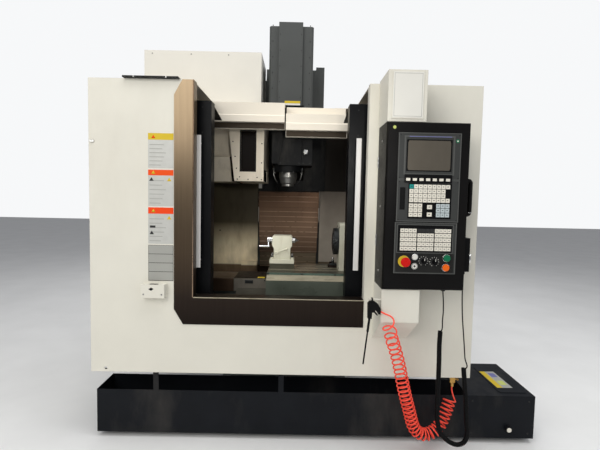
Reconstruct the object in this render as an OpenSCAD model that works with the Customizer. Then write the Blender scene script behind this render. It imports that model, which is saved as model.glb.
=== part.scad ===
// Vertical machining centre with open sliding doors, sizes in millimetres.
// Working frame: y = 0 is the plane of the front sheet, x = 0 the spindle, z = 0 the floor.

/* [Cabinet] */
// Width of the sheet-metal cabinet
cabinet_width = 2100; // [1900:10:2300]
// Depth of the sheet-metal cabinet
cabinet_depth = 1180; // [1150:10:1400]
// Height of the top edge of the front sheet
cabinet_top = 1978; // [1950:1:2050]
// Height of the bottom edge of the front sheet
skirt_height = 385; // [340:5:420]
// Thickness of the cabinet's sheet metal
sheet = 3; // [2:0.5:4]

/* [Door opening] */
// Clear width of the door opening
opening_width = 935; // [800:5:1000]
// Sideways position of the opening's middle
opening_middle = -22; // [-60:1:20]
// Height of the sill above the floor
sill_height = 810; // [780:5:840]
// Width of the steel band round the opening
band_width = 104; // [60:2:120]
// Depth of the steel band below the sill
band_drop = 150; // [100:5:180]

/* [Doors] */
// Distance of the door leaves behind the front sheet
door_setback = 110; // [90:5:120]
// Height of the top edge of a door leaf
door_top = 1895; // [1800:5:1905]
// Depth of the leading stile of a door leaf
stile_depth = 85; // [60:5:90]
// Width of the leading stile of a door leaf
stile_width = 101; // [70:1:120]
// How far each leaf slides between open and shut
door_travel = 385; // [330:5:400]
// Length of a door handle
handle_length = 735; // [500:5:800]

/* [Worktable] */
// Length of the table
table_length = 800; // [720:10:840]
// Width of the clamping surface
table_width = 387; // [360:1:400]
// Height of the clamping surface
table_top = 900; // [890:2:930]
// Number of T-slots
slot_count = 3; // [3:1:5]
// Width of a T-slot's mouth
slot_mouth = 14; // [12:1:18]
// Offset of the table to the right in the stored pose
table_offset = 290; // [250:5:300]
// Travel of the table to each side of the spindle
table_half_travel = 300; // [275:5:310]
// Travel of the saddle away from the doors
saddle_travel = 400; // [300:10:400]

/* [Head] */
// Distance of the spindle behind the front sheet
spindle_setback = 700; // [690:5:720]
// Height of the spindle's nose in the stored pose
nose_height = 1447; // [1430:1:1500]
// Diameter of the spindle's nose
nose_diameter = 128; // [100:2:140]
// How far the head can go down
head_down = 400; // [300:10:400]
// How far the head can go up
head_up = 60; // [20:5:60]
// Height of the top of the head's cover
cover_top = 2605; // [2560:5:2640]

/* [Column] */
// Distance of the column's front behind the front sheet
column_setback = 1175; // [1175:5:1200]
// Depth of the column
column_depth = 470; // [400:10:480]
// Height of the top of the column
column_top = 2400; // [2380:5:2440]

/* [Tool magazine] */
// Radius of the drum of tools
drum_radius = 235; // [200:5:245]
// Number of tool pots on the drum
pot_count = 20; // [16:2:24]
// Height of the top of the magazine's housing
magazine_top = 2372; // [2330:2:2400]

/* [Control] */
// Distance of the control's front before the front sheet
control_reach = 228; // [200:2:240]
// Width of the control's housing
control_width = 405; // [390:5:420]
// Height of the control's housing
control_height = 820; // [800:5:830]
// Height of the underside of the control's housing
control_bottom = 922; // [910:2:930]
// Width of the pillar that carries the control
pillar_width = 189; // [160:1:220]
// Diameter of the stop button's head
stop_diameter = 40; // [30:1:46]
// Diameter of the push buttons
button_diameter = 22; // [16:1:26]

/* [Coolant tank] */
// Height of the top of the tank
tank_top = 275; // [240:5:300]
// How far the tank reaches past the cabinet on the right
tank_reach = 384; // [300:2:400]
// Depth of the tank's front channel
tank_channel = 205; // [180:5:215]

/* [Cords] */
// Outer diameter of the air hose's coil
hose_coil = 72; // [60:1:80]
// Thickness of the air hose
hose_thickness = 8; // [6:0.5:10]
// Outer diameter of the pendant cord's coil
cord_coil = 26; // [20:1:30]
// Thickness of the pendant cord
cord_thickness = 7; // [5:0.5:9]

/* [Hidden] */
$fn = 48;
seat = 0.3;
half = cabinet_width / 2;
open_left = opening_middle - opening_width / 2;
open_right = opening_middle + opening_width / 2;
meet_x = open_left + opening_width * 0.4888;
lead_left = meet_x - 1 - door_travel;
lead_right = meet_x + 1 + door_travel;
leaf_lap = 25;
leaf_left = meet_x - open_left + leaf_lap;
leaf_right = open_right - meet_x + leaf_lap;
door_y = door_setback;
track_z = 775;
leaf_z = track_z + seat;
stop_reach = 34;
unit_proud = 6;
control_y = -control_reach;
front_y = control_y - unit_proud - stop_reach;
back_y = column_setback + column_depth + 360;
tank_right = half + tank_reach;
x_mid = (tank_right - half) / 2;
knob_reach = 26;
y_mid = (front_y + back_y + knob_reach) / 2;

// Base, rails and saddle
base_top = 520;
base_half = 360;
base_front = 250;
base_back = column_setback + column_depth + 20;
y_rail_x = 230;
y_rail_top = base_top + 40;
saddle_front = 330;
saddle_depth = 340;
saddle_top = 735;
saddle_half = table_half_travel + table_length / 2 + 220;
x_rail_y = [440, 590];
x_rail_top = saddle_top + 30;
table_back = 692;
table_front = table_back - table_width;
table_mid = 500;
table_under = 772;
gutter_front = table_front - 90;
table_left = table_offset - table_length / 2;
table_right = table_offset + table_length / 2;

// Way covers: nested folded sheets with a fixed step between neighbours
step = 4;
skin = 2;
x_cover_top = 845;
x_cover_front = 385;
x_cover_back = 645;
x_cover_len = 218;
x_cover_low = 760;
y_cover_len = 215;
y_cover_top = 640;
y_cover_half = 300;
y_cover_home = saddle_front + saddle_depth + saddle_travel;
z_cover_y = column_setback - 71;
z_cover_half = 245;
z_cover_len = 150;
z_cover_fixed_top = 950;
head_low = nose_height - 9;
chamber_back = column_setback - 35;

// Control
control_x = 497;
control_top = control_bottom + control_height;
unit_x = control_x + 55;
unit_w = 300;

// A box given by its low and high corners
module box(a, b) { translate(a) cube([b[0] - a[0], b[1] - a[1], b[2] - a[2]]); }

// A box with its vertical corners rounded
module round_box(a, b, r) {
  translate([a[0] + r, a[1] + r, a[2]])
    linear_extrude(b[2] - a[2])
      offset(r) square([b[0] - a[0] - 2 * r, b[1] - a[1] - 2 * r]);
}

// A drawing in x and z pushed back along y
module along_y(y0, y1) {
  translate([0, y1, 0]) rotate([90, 0, 0]) linear_extrude(y1 - y0) children();
}

// A drawing in y and z pushed along x
module along_x(x0, x1) {
  translate([x0, 0, 0]) rotate([90, 0, 90]) linear_extrude(x1 - x0) children();
}

module rod(p, axis, d, h) {
  turn = axis == "x" ? [0, 90, 0] : axis == "y" ? [-90, 0, 0] : [0, 0, 0];
  translate(p) rotate(turn) cylinder(d = d, h = h);
}

module placed() { translate([-x_mid, -y_mid, 0]) children(); }

module machine_base() color("#6f7470") placed() {
  difference() {
    along_y(base_front, base_back)
      polygon([[-430, 60], [430, 60], [430, 112], [base_half - 40, 180], [base_half - 40, 440],
        [base_half, 470], [base_half, base_top], [-base_half, base_top], [-base_half, 470],
        [40 - base_half, 440], [40 - base_half, 180], [-430, 112]]);
    along_y(base_front + 40, base_back - 40)
      polygon([[-280, 50], [280, 50], [280, 420], [240, 470], [-240, 470], [-280, 420]]);
  }
  for (y = [base_front + 340 : 340 : base_back - 300])
    difference() {
      box([-280, y, 112], [280, y + 30, 470]);
      translate([0, y - 1, 260]) rotate([-90, 0, 0]) cylinder(d = 200, h = 32);
    }
  for (x = [-y_rail_x, y_rail_x])
    box([x - 22, 270, base_top], [x + 22, chamber_back - 5, y_rail_top]);
}

module levelling_feet() color("#2b2d2f") placed()
  for (x = [-390, 390], y = [base_front + 60, 950, base_back - 60]) {
    rod([x, y, 0], "z", 110, 16);
    rod([x, y, 16], "z", 60, 14);
    rod([x, y, 30], "z", 28, 30);
  }

module column() color("#9ea29f") placed() difference() {
  union() {
    along_y(column_setback, column_setback + column_depth)
      polygon([[-355, base_top], [355, base_top], [345, 760], [230, 1250], [200, column_top - 40],
        [200, column_top], [-200, column_top], [-200, column_top - 40], [-230, 1250], [-345, 760]]);
    for (x = [-185, 185])
      box([x - 24, column_setback - 34, 1010], [x + 24, column_setback, 2300]);
    box([200, column_setback + 20, 1960], [268, column_setback + 260, column_top + 30]);
  }
  box([-318, column_setback - 40, base_top - 1], [318, column_setback + 125, 690]);
  along_y(column_setback + 40, column_setback + column_depth + 1)
    polygon([[-170, 900], [170, 900], [150, 1250], [140, 2200], [-140, 2200], [-150, 1250]]);
}

// One folded sheet, open below the sill, with its edges turned back
module front_panel() color("#dedbd2") placed() {
  difference() {
    box([-half, 0, skirt_height], [half, sheet, cabinet_top]);
    box([open_left, -1, sill_height], [open_right, sheet + 1, cabinet_top + 1]);
    rod([81 - half, -1, skirt_height + 20], "y", 16, sheet + 2);
  }
  box([-half, sheet, cabinet_top - sheet], [open_left, 40, cabinet_top]);
  box([open_right, sheet, cabinet_top - sheet], [half, 40, cabinet_top]);
  box([sheet - half, sheet, skirt_height], [half - sheet, 40, skirt_height + sheet]);
  box([open_left - sheet, sheet, sill_height], [open_left, door_y - 50, cabinet_top - 8]);
  box([open_right, sheet, sill_height], [open_right + sheet, door_y - 50, cabinet_top - 8]);
  box([open_left - sheet, sheet, sill_height - sheet],
    [open_right + sheet, door_y - 24, sill_height]);
  // Stop strip over the left side
  box([-859, -24, cabinet_top], [-567, 30, cabinet_top + 8]);
}

// Brushed band up the left of the opening and under the sill, with cut corners
module door_surround() color("#9c8f7c") placed() {
  low = sill_height - band_drop;
  along_y(-4, 0)
    polygon([[open_left - band_width, low + 84], [open_left - band_width + 50, low],
      [open_right, low], [open_right, sill_height], [open_left, sill_height],
      [open_left, cabinet_top], [open_left - band_width + 44, cabinet_top],
      [open_left - band_width, cabinet_top - 80]]);
  box([open_left, -4, sill_height], [open_left + 1.5, door_y - 49, cabinet_top]);
  box([open_left + 1.5, -4, sill_height], [open_right, door_y - 23, sill_height + 1.5]);
}

module side_panels() color("#d9d6cd") placed()
  for (s = [-1, 1]) {
    x = s * half - (s > 0 ? sheet : 0);
    difference() {
      box([x, sheet, skirt_height], [x + sheet, cabinet_depth, cabinet_top - sheet]);
      for (i = [0 : 8])
        box([x - 1, 820, 520 + i * 26], [x + sheet + 1, 980, 528 + i * 26]);
    }
    for (y = [420, 780])
      box([s > 0 ? x - 25 : x + sheet, y, skirt_height + 40],
        [s > 0 ? x : x + sheet + 25, y + sheet, cabinet_top - 60]);
  }

beam_y = 450;
beam_split = -18;
// Roof sheet with the loading gap behind the doors and the notch for the head
module roof_panel() color("#e2dfd6") placed() {
  low = cabinet_top - 8;
  difference() {
    box([sheet - half, 40, low], [half - sheet, cabinet_depth, low + sheet]);
    box([open_left, 0, low - 1], [open_right, beam_y + 130, low + 9]);
    box([-215, beam_y + 90, low - 1], [310, cabinet_depth + 1, low + 9]);
    box([-250, mag_back - 12, low - 1], [310, cabinet_depth + 1, low + 9]);
    box([mag_left + 12, mag_front + 12, low - 1], [mag_right - 12, mag_back - 12, low + 9]);
    box([drum_x - 88, mag_back - 13, low - 1], [drum_x + 88, mag_back + 1, low + 9]);
  }
  // Edge strips that join the roof to the front sheet
  box([sheet - half, 40, low], [open_left, 43, cabinet_top]);
  box([open_right, 40, low], [half - sheet, 43, cabinet_top]);
  beam(open_left + seat, beam_split - 4, 0, 77);
  beam(beam_split + 4, open_right - 62, 66, 57);
}
// Folded beam behind the loading gap, hung a given way under the roof
module beam(x0, x1, drop, tall) {
  top = cabinet_top - 8 - drop;
  y = beam_y;
  a = top - tall;
  along_x(x0, x1)
    polygon([[y, top], [y + 130, top], [y + 130, top + drop + 1], [y + 133, top + drop + 1],
      [y + 133, top - 3], [y + 3, top - 3], [y + 3, a - 1], [y - 3, a - 7], [y - 3, a - 44],
      [y + 28, a - 44], [y + 28, a - 84], [y + 60, a - 84], [y + 60, a - 87], [y + 25, a - 87],
      [y + 25, a - 47], [y - 6, a - 47], [y - 6, a - 6], [y, a]]);
}

chamber_half = 985;
liner_low = 560;
liner_top = cabinet_top - 8;
// Inner sheets of the work chamber with the fixed last plate of the column's cover
module chamber_liner() color("#b9b2a0") placed() {
  for (s = [-1, 1])
    box([s * chamber_half - (s > 0 ? 0 : sheet), 215, liner_low],
      [s * chamber_half + (s > 0 ? sheet : 0), chamber_back + sheet, liner_top]);
  difference() {
    box([-chamber_half, chamber_back, 505], [chamber_half, chamber_back + sheet, liner_top]);
    box([-z_cover_half - 4, chamber_back - 10, z_cover_fixed_top - 138],
      [z_cover_half + 4, chamber_back + 10, liner_top + 1]);
    box([-y_cover_half - 6, chamber_back - 10, 500], [y_cover_half + 6, chamber_back + 10, y_cover_top + 6]);
    box([-base_half - 2, chamber_back - 10, 500], [base_half + 2, chamber_back + 10, base_top + 2]);
  }
  // Ties to the side walls of the cabinet
  for (s = [-1, 1], z = [700, 1900], y = [260, 1100])
    box([min(s * (chamber_half + 3), s * (half - 3)), y, z],
      [max(s * (chamber_half + 3), s * (half - 3)), y + 30, z + 3]);
  z_plate(0);
  w = z_cover_half - 4 * step;
  box([-w, z_cover_y + 4 * step, z_cover_fixed_top - z_cover_len],
    [w, chamber_back, z_cover_fixed_top - z_cover_len + 3]);
  // Low box beside the foot of the column's cover
  box([-378, z_cover_y - 8, 700], [-z_cover_half - 5, chamber_back, 843]);
}

module chip_pan() color("#8d8f8a") placed() {
  for (s = [-1, 1])
    along_x(s > 0 ? base_half : -chamber_half, s > 0 ? chamber_half : -base_half)
      polygon([[90, 440], [chamber_back, 505], [chamber_back, 508], [93, 443], [93, track_z - 35],
        [90, track_z - 35]]);
  box([-base_half, 90, 440], [base_half, 93, track_z - 35]);
  box([-base_half, 93, 500], [base_half, base_front, 503]);
  // Side gutters up to the chamber's walls
  for (s = [-1, 1])
    box([s * chamber_half - (s > 0 ? 0 : sheet), 90, 430],
      [s * chamber_half + (s > 0 ? sheet : 0), chamber_back, liner_low]);
  // Bottom track of the doors
  along_x(sheet - half, half - sheet)
    polygon([[90, track_z - 35], [205, track_z - 35], [205, track_z], [door_y + 80, track_z],
      [door_y + 80, track_z - 30], [door_y + 48, track_z - 30], [door_y + 48, track_z], [90, track_z]]);
  y_plate(2, y_cover_home, y_cover_len, 0);
  y_plate(2, saddle_front - y_cover_len, y_cover_len - seat, 0);
}

// Folded cover over the cross rails: level 0 is the widest, the lip wipes the next one
module x_plate(level, x, side) {
  o = level * step;
  along_x(x, x + x_cover_len) difference() { x_solid(o); x_hole(o + skin); }
  if (side != 0) {
    e = side > 0 ? x + x_cover_len - skin : x;
    along_x(e, e + skin) difference() { x_solid(o); x_hole(o + step - seat); }
  }
}
module x_solid(o) polygon([[x_cover_front + o, x_cover_low], [x_cover_back - o, x_cover_low],
  [x_cover_back - o, x_cover_top - o - 12], [x_cover_back - o - 12, x_cover_top - o],
  [x_cover_front + o, x_cover_top - o]]);
module x_hole(o) polygon([[x_cover_front + o, x_cover_low - 1], [x_cover_back - o, x_cover_low - 1],
  [x_cover_back - o, x_cover_top - o - 12], [x_cover_back - o - 12, x_cover_top - o],
  [x_cover_front + o, x_cover_top - o]]);

// Folded cover over the length rails, drawn in x and z
module y_solid(o, low) polygon([[-y_cover_half + o, low], [y_cover_half - o, low],
  [y_cover_half - o, y_cover_top - o - 30], [y_cover_half - o - 60, y_cover_top - o],
  [-y_cover_half + o + 60, y_cover_top - o], [-y_cover_half + o, y_cover_top - o - 30]]);
module y_plate(level, y, len, side) {
  o = level * step;
  low = level < 2 ? base_top + seat : base_top;
  along_y(y, y + len) difference() { y_solid(o, low); y_solid(o + skin, low - 1); }
  if (side != 0) {
    e = side > 0 ? y + len - skin : y;
    along_y(e, e + skin) difference() { y_solid(o, low); y_solid(o + step - seat, low - 1); }
  }
}

// Flat plate of the column's cover with pressed grooves: level 3 is the highest and foremost
z_pitch = (head_low - z_cover_fixed_top) / 4;
module z_plate(level) {
  o = (4 - level) * step;
  top = z_cover_fixed_top + level * z_pitch;
  w = z_cover_half - o;
  y = z_cover_y + o;
  low = top - z_cover_len;
  difference() {
    box([-w, y, low], [w, y + 20, top]);
    box([-w + skin, y + skin, low - 1], [w - skin, y + 21, top + 1]);
    for (z = [top - 20 : -40 : low + 20]) box([-w - 1, y - 1, z - 4], [w + 1, y + 0.8, z]);
  }
  if (level > 0) difference() {
    box([-w, y, low], [w, y + 20, low + skin]);
    box([-w + step - seat, y + step - seat, low - 1], [w - step + seat, y + 21, low + skin + 1]);
  }
}

module door_leaf(lead, wide, s) {
  far = lead + s * wide;
  x0 = min(lead, far);
  x1 = max(lead, far);
  win0 = s > 0 ? lead + stile_width + 30 : x0 + 70;
  win1 = s > 0 ? x1 - 70 : lead - stile_width - 30;
  difference() {
    box([x0, door_y, leaf_z], [x1, door_y + 3, door_top]);
    box([win0, door_y - 1, 1060], [win1, door_y + 4, 1760]);
  }
  // Leading stile, a closed box section
  sx0 = s > 0 ? lead : lead - stile_width;
  difference() {
    box([sx0, door_y + 3, leaf_z], [sx0 + stile_width, door_y + stile_depth, door_top]);
    box([sx0 + 3, door_y + 3, leaf_z - 1],
      [sx0 + stile_width - 3, door_y + stile_depth - 3, door_top - 3]);
  }
  // Guide shoes in the bottom track
  for (x = [x0 + 40, x1 - 90]) {
    box([x, door_y + 48 + seat, leaf_z - 20], [x + 50, door_y + 53, leaf_z + 60]);
    box([x, door_y + 3, leaf_z + 40], [x + 50, door_y + 53, leaf_z + 60]);
  }
  // Canopy over the loading gap, running back to the beam on rollers
  rear = beam_y - 26;
  fall = 46;
  difference() {
    along_x(x0, x1)
      polygon([[door_y + 3, door_top - 6], [rear, door_top - fall - 3], [rear, door_top - fall],
        [door_y + 3, door_top - 3]]);
    box([sx0 + 3, door_y + 3, door_top - 40],
      [sx0 + stile_width - 3, door_y + stile_depth - 3, door_top - 3]);
  }
  for (x = [x0 + 60, (x0 + x1) / 2, x1 - 60]) {
    rod([x, rear - 8, door_top - fall - 2], "y", 20, 20);
    rod([x, rear - 30, door_top - fall + 1], "y", 6, 30);
  }
}

module door_left() color("#232326") placed() door_leaf(lead_left, leaf_left, -1);
module door_right() color("#232326") placed() door_leaf(lead_right, leaf_right, 1);

module door_pane(lead, wide, s) {
  far = lead + s * wide;
  win0 = s > 0 ? lead + stile_width + 30 : min(lead, far) + 70;
  win1 = s > 0 ? max(lead, far) - 70 : lead - stile_width - 30;
  box([win0 - 18, door_y + 3, 1042], [win1 + 18, door_y + 9, 1778]);
}
module door_left_glass() color("#3c4446") placed() door_pane(lead_left, leaf_left, -1);
module door_right_glass() color("#3c4446") placed() door_pane(lead_right, leaf_right, 1);

// Flat bar handle standing on two posts
module door_handle(x) {
  low = 964;
  for (z = [low + 40, low + handle_length - 40]) rod([x, door_y - 34, z], "y", 16, 34);
  translate([x, door_y - 40, low]) linear_extrude(handle_length) {
    for (e = [-9, 9]) translate([e, 0]) circle(r = 6);
    square([18, 12], center = true);
  }
}
module door_left_handle() color("#e2e2df") placed() door_handle(lead_left - stile_width + 38);
module door_right_handle() color("#e2e2df") placed() door_handle(lead_right + 52);

module saddle() color("#7b807c") placed() {
  y1 = saddle_front + saddle_depth;
  difference() {
    box([-580, saddle_front, 600], [580, y1, saddle_top]);
    for (s = [-1, 1]) along_y(saddle_front - 1, y1 + 1)
      polygon([[s * 330, 599], [s * 581, 599], [s * 581, 690]]);
    box([-180, saddle_front - 1, 599], [180, y1 + 1, 660]);
  }
  // Guide blocks on the length rails
  for (x = [-y_rail_x, y_rail_x], y = [saddle_front + 10, y1 - 110])
    difference() {
      box([x - 50, y, 528], [x + 50, y + 100, 600]);
      box([x - 22 - seat, y - 1, 527], [x + 22 + seat, y + 101, y_rail_top + seat]);
    }
  for (y = x_rail_y) box([-570, y - 15, saddle_top], [570, y + 15, x_rail_top]);
  // Wings under the cross covers, with the innermost plates and their end walls
  for (s = [-1, 1]) {
    box([min(s * 580, s * saddle_half), x_cover_front - 5, 715],
      [max(s * 580, s * saddle_half), x_cover_back + 5, 725]);
    box([s > 0 ? saddle_half : -saddle_half - 3, x_cover_front - 5, 715],
      [s > 0 ? saddle_half + 3 : -saddle_half, x_cover_back + 5, x_cover_top + 2]);
    x_plate(3, s > 0 ? saddle_half - x_cover_len : -saddle_half, 0);
  }
  // Outermost plates of the length covers
  y_plate(0, y1, y_cover_len, 1);
  y_plate(0, saddle_front - y_cover_len, y_cover_len, -1);
}

// Middle plates of the cross covers; each keeps an even share of the way
function x_mid_place(k, s) =
  s < 0 ? -saddle_half + k / 3 * (table_left - x_cover_len + saddle_half)
    : saddle_half - x_cover_len - k / 3 * (saddle_half - x_cover_len - table_right);
module x_cover_left_1() color("#6e675e") placed() x_plate(2, x_mid_place(1, -1), -1);
module x_cover_left_2() color("#6e675e") placed() x_plate(1, x_mid_place(2, -1), -1);
module x_cover_right_1() color("#6e675e") placed() x_plate(2, x_mid_place(1, 1), 1);
module x_cover_right_2() color("#6e675e") placed() x_plate(1, x_mid_place(2, 1), 1);

module y_cover_rear() color("#6e675e") placed()
  y_plate(1, (saddle_front + saddle_depth + y_cover_home) / 2, y_cover_len, 1);
module y_cover_front() color("#6e675e") placed()
  y_plate(1, saddle_front - y_cover_len, y_cover_len - seat, -1);

module table() color("#7d837c") placed() {
  pitch = table_width / (slot_count + 0.6);
  mid = (table_front + table_back) / 2;
  difference() {
    along_x(table_left, table_right)
      polygon([[gutter_front, 757], [gutter_front + 14, 757], [table_front, table_under + 20],
        [table_front + 60, table_under], [table_back, table_under], [table_back, table_top],
        [table_front, table_top], [table_front, 886], [gutter_front + 12, 863],
        [gutter_front + 12, 868], [gutter_front, 868]]);
    for (i = [0 : slot_count - 1]) {
      y = mid + (i - (slot_count - 1) / 2) * pitch;
      box([table_left - 1, y - slot_mouth / 2, table_top - 18], [table_right + 1, y + slot_mouth / 2, table_top + 1]);
      box([table_left - 1, y - slot_mouth, table_top - 28], [table_right + 1, y + slot_mouth, table_top - 17]);
    }
    box([table_left + 40, table_front + 90, table_under - 1], [table_right - 40, 415, 846]);
    box([table_left + 40, 470, table_under - 1], [table_right - 40, 560, 846]);
  }
  for (x = [table_left + 150, table_right - 150], y = x_rail_y)
    difference() {
      box([x - 45, y - 27, 743], [x + 45, y + 27, table_under]);
      box([x - 46, y - 15 - seat, 742], [x + 46, y + 15 + seat, x_rail_top + seat]);
    }
  // Raising block under the tailstock and drip tray left of the gutter
  box([tail_left - 12, work_y - 60, table_top], [tail_left + 148, work_y + 60, block_top]);
  along_x(table_left - 190, table_left)
    polygon([[240, 765], [x_cover_front, 778], [x_cover_front, 781], [240, 768]]);
  // Inner end plates of the cross covers
  x_plate(0, table_left - x_cover_len, -1);
  x_plate(0, table_right, 1);
}

work_y = 500;
work_z = 1083;
tail_left = -92;
block_top = table_top + 36;
module tailstock() color("#dfe3d4") placed() {
  x = tail_left;
  difference() {
    union() {
      box([x - 12, work_y - 66, block_top], [x + 148, work_y + 66, block_top + 26]);
      along_y(work_y - 48, work_y + 48)
        polygon([[x + 14, block_top + 26], [x + 122, block_top + 26], [x + 122, 1036],
          [x + 133, 1050], [x + 133, 1108], [x + 125, 1116], [x + 11, 1116], [x + 3, 1108],
          [x + 3, 1050], [x + 14, 1036]]);
    }
    rod([x - 20, work_y, work_z], "x", 36, 180);
  }
  // Bolts and clamp straps that hold the base down
  for (e = [2, 134]) {
    rod([x + e, work_y - 30, block_top + 26], "z", 20, 12);
    box([x + e - 9, work_y - 44, block_top + 26], [x + e + 9, work_y - 16, block_top + 30]);
  }
  // Clamp lever on the front
  rod([x + 30, work_y - 62, 1004], "y", 20, 14);
  translate([x + 30, work_y - 58, 1004]) rotate([0, 68, 0]) cylinder(d = 8, h = 60);
  translate([x + 85.6, work_y - 58, 1026.5]) rotate([0, 68, 0]) cylinder(d = 14, h = 18);
}

module tail_quill() color("#b8b8b4") placed() {
  rod([tail_left + 5, work_y, work_z], "x", 35.9, 147);
  translate([tail_left + 152, work_y, work_z]) rotate([0, 90, 0])
    cylinder(d1 = 24, d2 = 2, h = 24);
}

module tail_handwheel() color("#c9c9c6") placed() {
  x = tail_left + 3 - seat;
  rod([x - 34, work_y, work_z], "x", 44, 34);
  translate([x - 26, work_y, work_z]) rotate([135, 0, 0]) cylinder(d = 12, h = 62);
  rod([x - 84, work_y - 39, work_z - 39], "x", 16, 66);
}

rotary_x = 346;
module rotary_table() color("#dfe3d4") placed() {
  difference() {
    along_x(rotary_x, rotary_x + 150)
      polygon([[work_y - 88, table_top], [work_y + 66, table_top], [work_y + 66, 1196],
        [work_y + 54, 1208], [work_y - 76, 1208], [work_y - 88, 1196]]);
    rod([rotary_x - 1, work_y, work_z], "x", 60.1, 60);
    along_x(rotary_x + 40, rotary_x + 110) polygon([[work_y - 89, 1120], [work_y - 80, 1120],
      [work_y - 80, 1170], [work_y - 89, 1170]]);
  }
  rod([rotary_x + 150, work_y, 1130], "x", 120, 90);
}

module faceplate() color("#3a3c3c") placed() difference() {
  union() {
    rod([rotary_x - 32, work_y, work_z], "x", 176, 31.7);
    rod([rotary_x - 1, work_y, work_z], "x", 60, 50);
    rod([rotary_x - 38, work_y, work_z], "x", 110, 8);
  }
  rod([rotary_x - 40, work_y, work_z], "x", 40, 60);
  for (a = [0 : 60 : 300]) translate([rotary_x - 33, work_y, work_z]) rotate([a, 0, 0])
    box([0, 58, -6], [14, 90, 6]);
}

module head_casting() color("#202224") placed() {
  n = nose_height;
  y = spindle_setback;
  difference() {
    union() {
      // Arm of the head, tapering towards the spindle
      along_x(-112, 112)
        polygon([[y - 92, n + 150], [y + 92, n + 128], [z_cover_y - 20, n + 60],
          [column_setback - 36, n + 60], [column_setback - 36, n + 560], [y + 250, n + 560],
          [y + 96, n + 430], [y - 92, n + 430]]);
      // Front cover with a panel that stands to the right
      difference() {
        along_y(y - 125, y - 92) polygon([[-66, n + 138], [164, n + 138], [164, n + 352],
          [154, n + 362], [-20, n + 362]]);
        box([92, y - 126, n + 162], [94, y - 122, n + 363]);
      }
      rod([120, y - 130, n + 228], "y", 38, 6);
      rod([120, y - 146, n + 228], "y", 24, 18);
      box([120, y - 92, n + 138], [165, y + 120, n + 362]);
      box([112, y + 40, n + 160], [120, y + 100, n + 300]);
      // Shield plate before the column's cover, with returned sides
      box([-205, z_cover_y - 6, head_low - 14], [286, z_cover_y, n + 480]);
      box([-205, z_cover_y, head_low + 4], [-202, z_cover_y + 26, n + 480]);
      box([283, z_cover_y, head_low + 4], [286, z_cover_y + 26, n + 480]);
      z_plate(4);
      // Coolant ring round the nose
      translate([0, y, n + 96]) rotate_extrude() translate([88, 0]) square([20, 60]);
    }
    rod([0, y, n - 10], "z", 131.1, 600);
  }
  // Belt guard over the spindle
  difference() {
    box([-100, y - 92, n + 430], [100, y + 90, n + 545]);
    box([-97, y - 89, n + 429], [97, y + 87, n + 542]);
  }
  // Guide blocks on the column's rails
  for (x = [-185, 185], z = [n + 90, n + 430])
    difference() {
      box([x - 50, column_setback - 56, z], [x + 50, column_setback - 10, z + 110]);
      box([x - 24 - seat, column_setback - 34 - seat, z - 1],
        [x + 24 + seat, column_setback, z + 111]);
    }
  for (z = [n + 90, n + 430])
    box([-235, column_setback - 66, z], [235, column_setback - 56, z + 110]);
}

// Motor housing above the head: centre rib, stepped wings, sloped lid
module head_cover() color("#474b4d") placed() {
  y = spindle_setback;
  n = nose_height;
  base = n + 560;
  difference() {
    union() {
      translate([0, 0, base]) linear_extrude(cover_top - 20 - base)
        polygon([[-84, y + 65], [86, y + 65], [86, y + 90], [150, y + 90], [163, y + 104],
          [163, y + 380], [-153, y + 380], [-153, y + 104], [-140, y + 90], [-84, y + 90]]);
      box([-84, y + 65, cover_top - 20], [86, y + 380, cover_top]);
    }
    translate([0, 0, base + 3]) linear_extrude(cover_top - 26 - base)
      polygon([[-81, y + 68], [83, y + 68], [83, y + 93], [147, y + 93], [160, y + 107],
        [160, y + 377], [-150, y + 377], [-150, y + 107], [-137, y + 93], [-81, y + 93]]);
  }
  box([-84, y + 65, n + 545], [86, y + 90, base]);
  // Motor
  round_box([-92, y + 150, n + 560], [92, y + 334, n + 900], 12);
}

module spindle() color("#a9a9a6") placed() {
  n = nose_height;
  r = nose_diameter / 2;
  translate([0, spindle_setback, n]) difference() {
    rotate_extrude() polygon([[0, 0], [44, 0], [44, 14], [52, 20], [r - 4, 52], [r, 60],
      [r, 148], [65.5, 150], [65.5, 425], [30, 431], [30, 500], [0, 500]]);
    translate([0, 0, -1]) cylinder(d1 = 44.5, d2 = 30, h = 66);
    for (a = [0, 180]) rotate(a) box([18, -8, -1], [46, 8, 8]);
  }
}

module z_cover_1() color("#6b5f55") placed() z_plate(1);
module z_cover_2() color("#6b5f55") placed() z_plate(2);
module z_cover_3() color("#6b5f55") placed() z_plate(3);

mag_left = -1016;
mag_right = -200;
mag_front = 712;
mag_back = z_cover_y - 12;
module magazine_housing() color("#e6e3da") placed() {
  low = cabinet_top - 5;
  difference() {
    box([mag_left, mag_front, low], [mag_right, mag_back, magazine_top]);
    box([mag_left + sheet, mag_front + sheet, low - 1],
      [mag_right - sheet, mag_back - sheet, magazine_top - sheet]);
  }
  // Axle and gearbox of the drum on the rear wall
  rod([drum_x, drum_y - 45, drum_z], "y", 60, mag_back - drum_y + 45);
  rod([drum_x, drum_y + 90, drum_z], "y", 170, mag_back - drum_y - 90);
}

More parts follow.
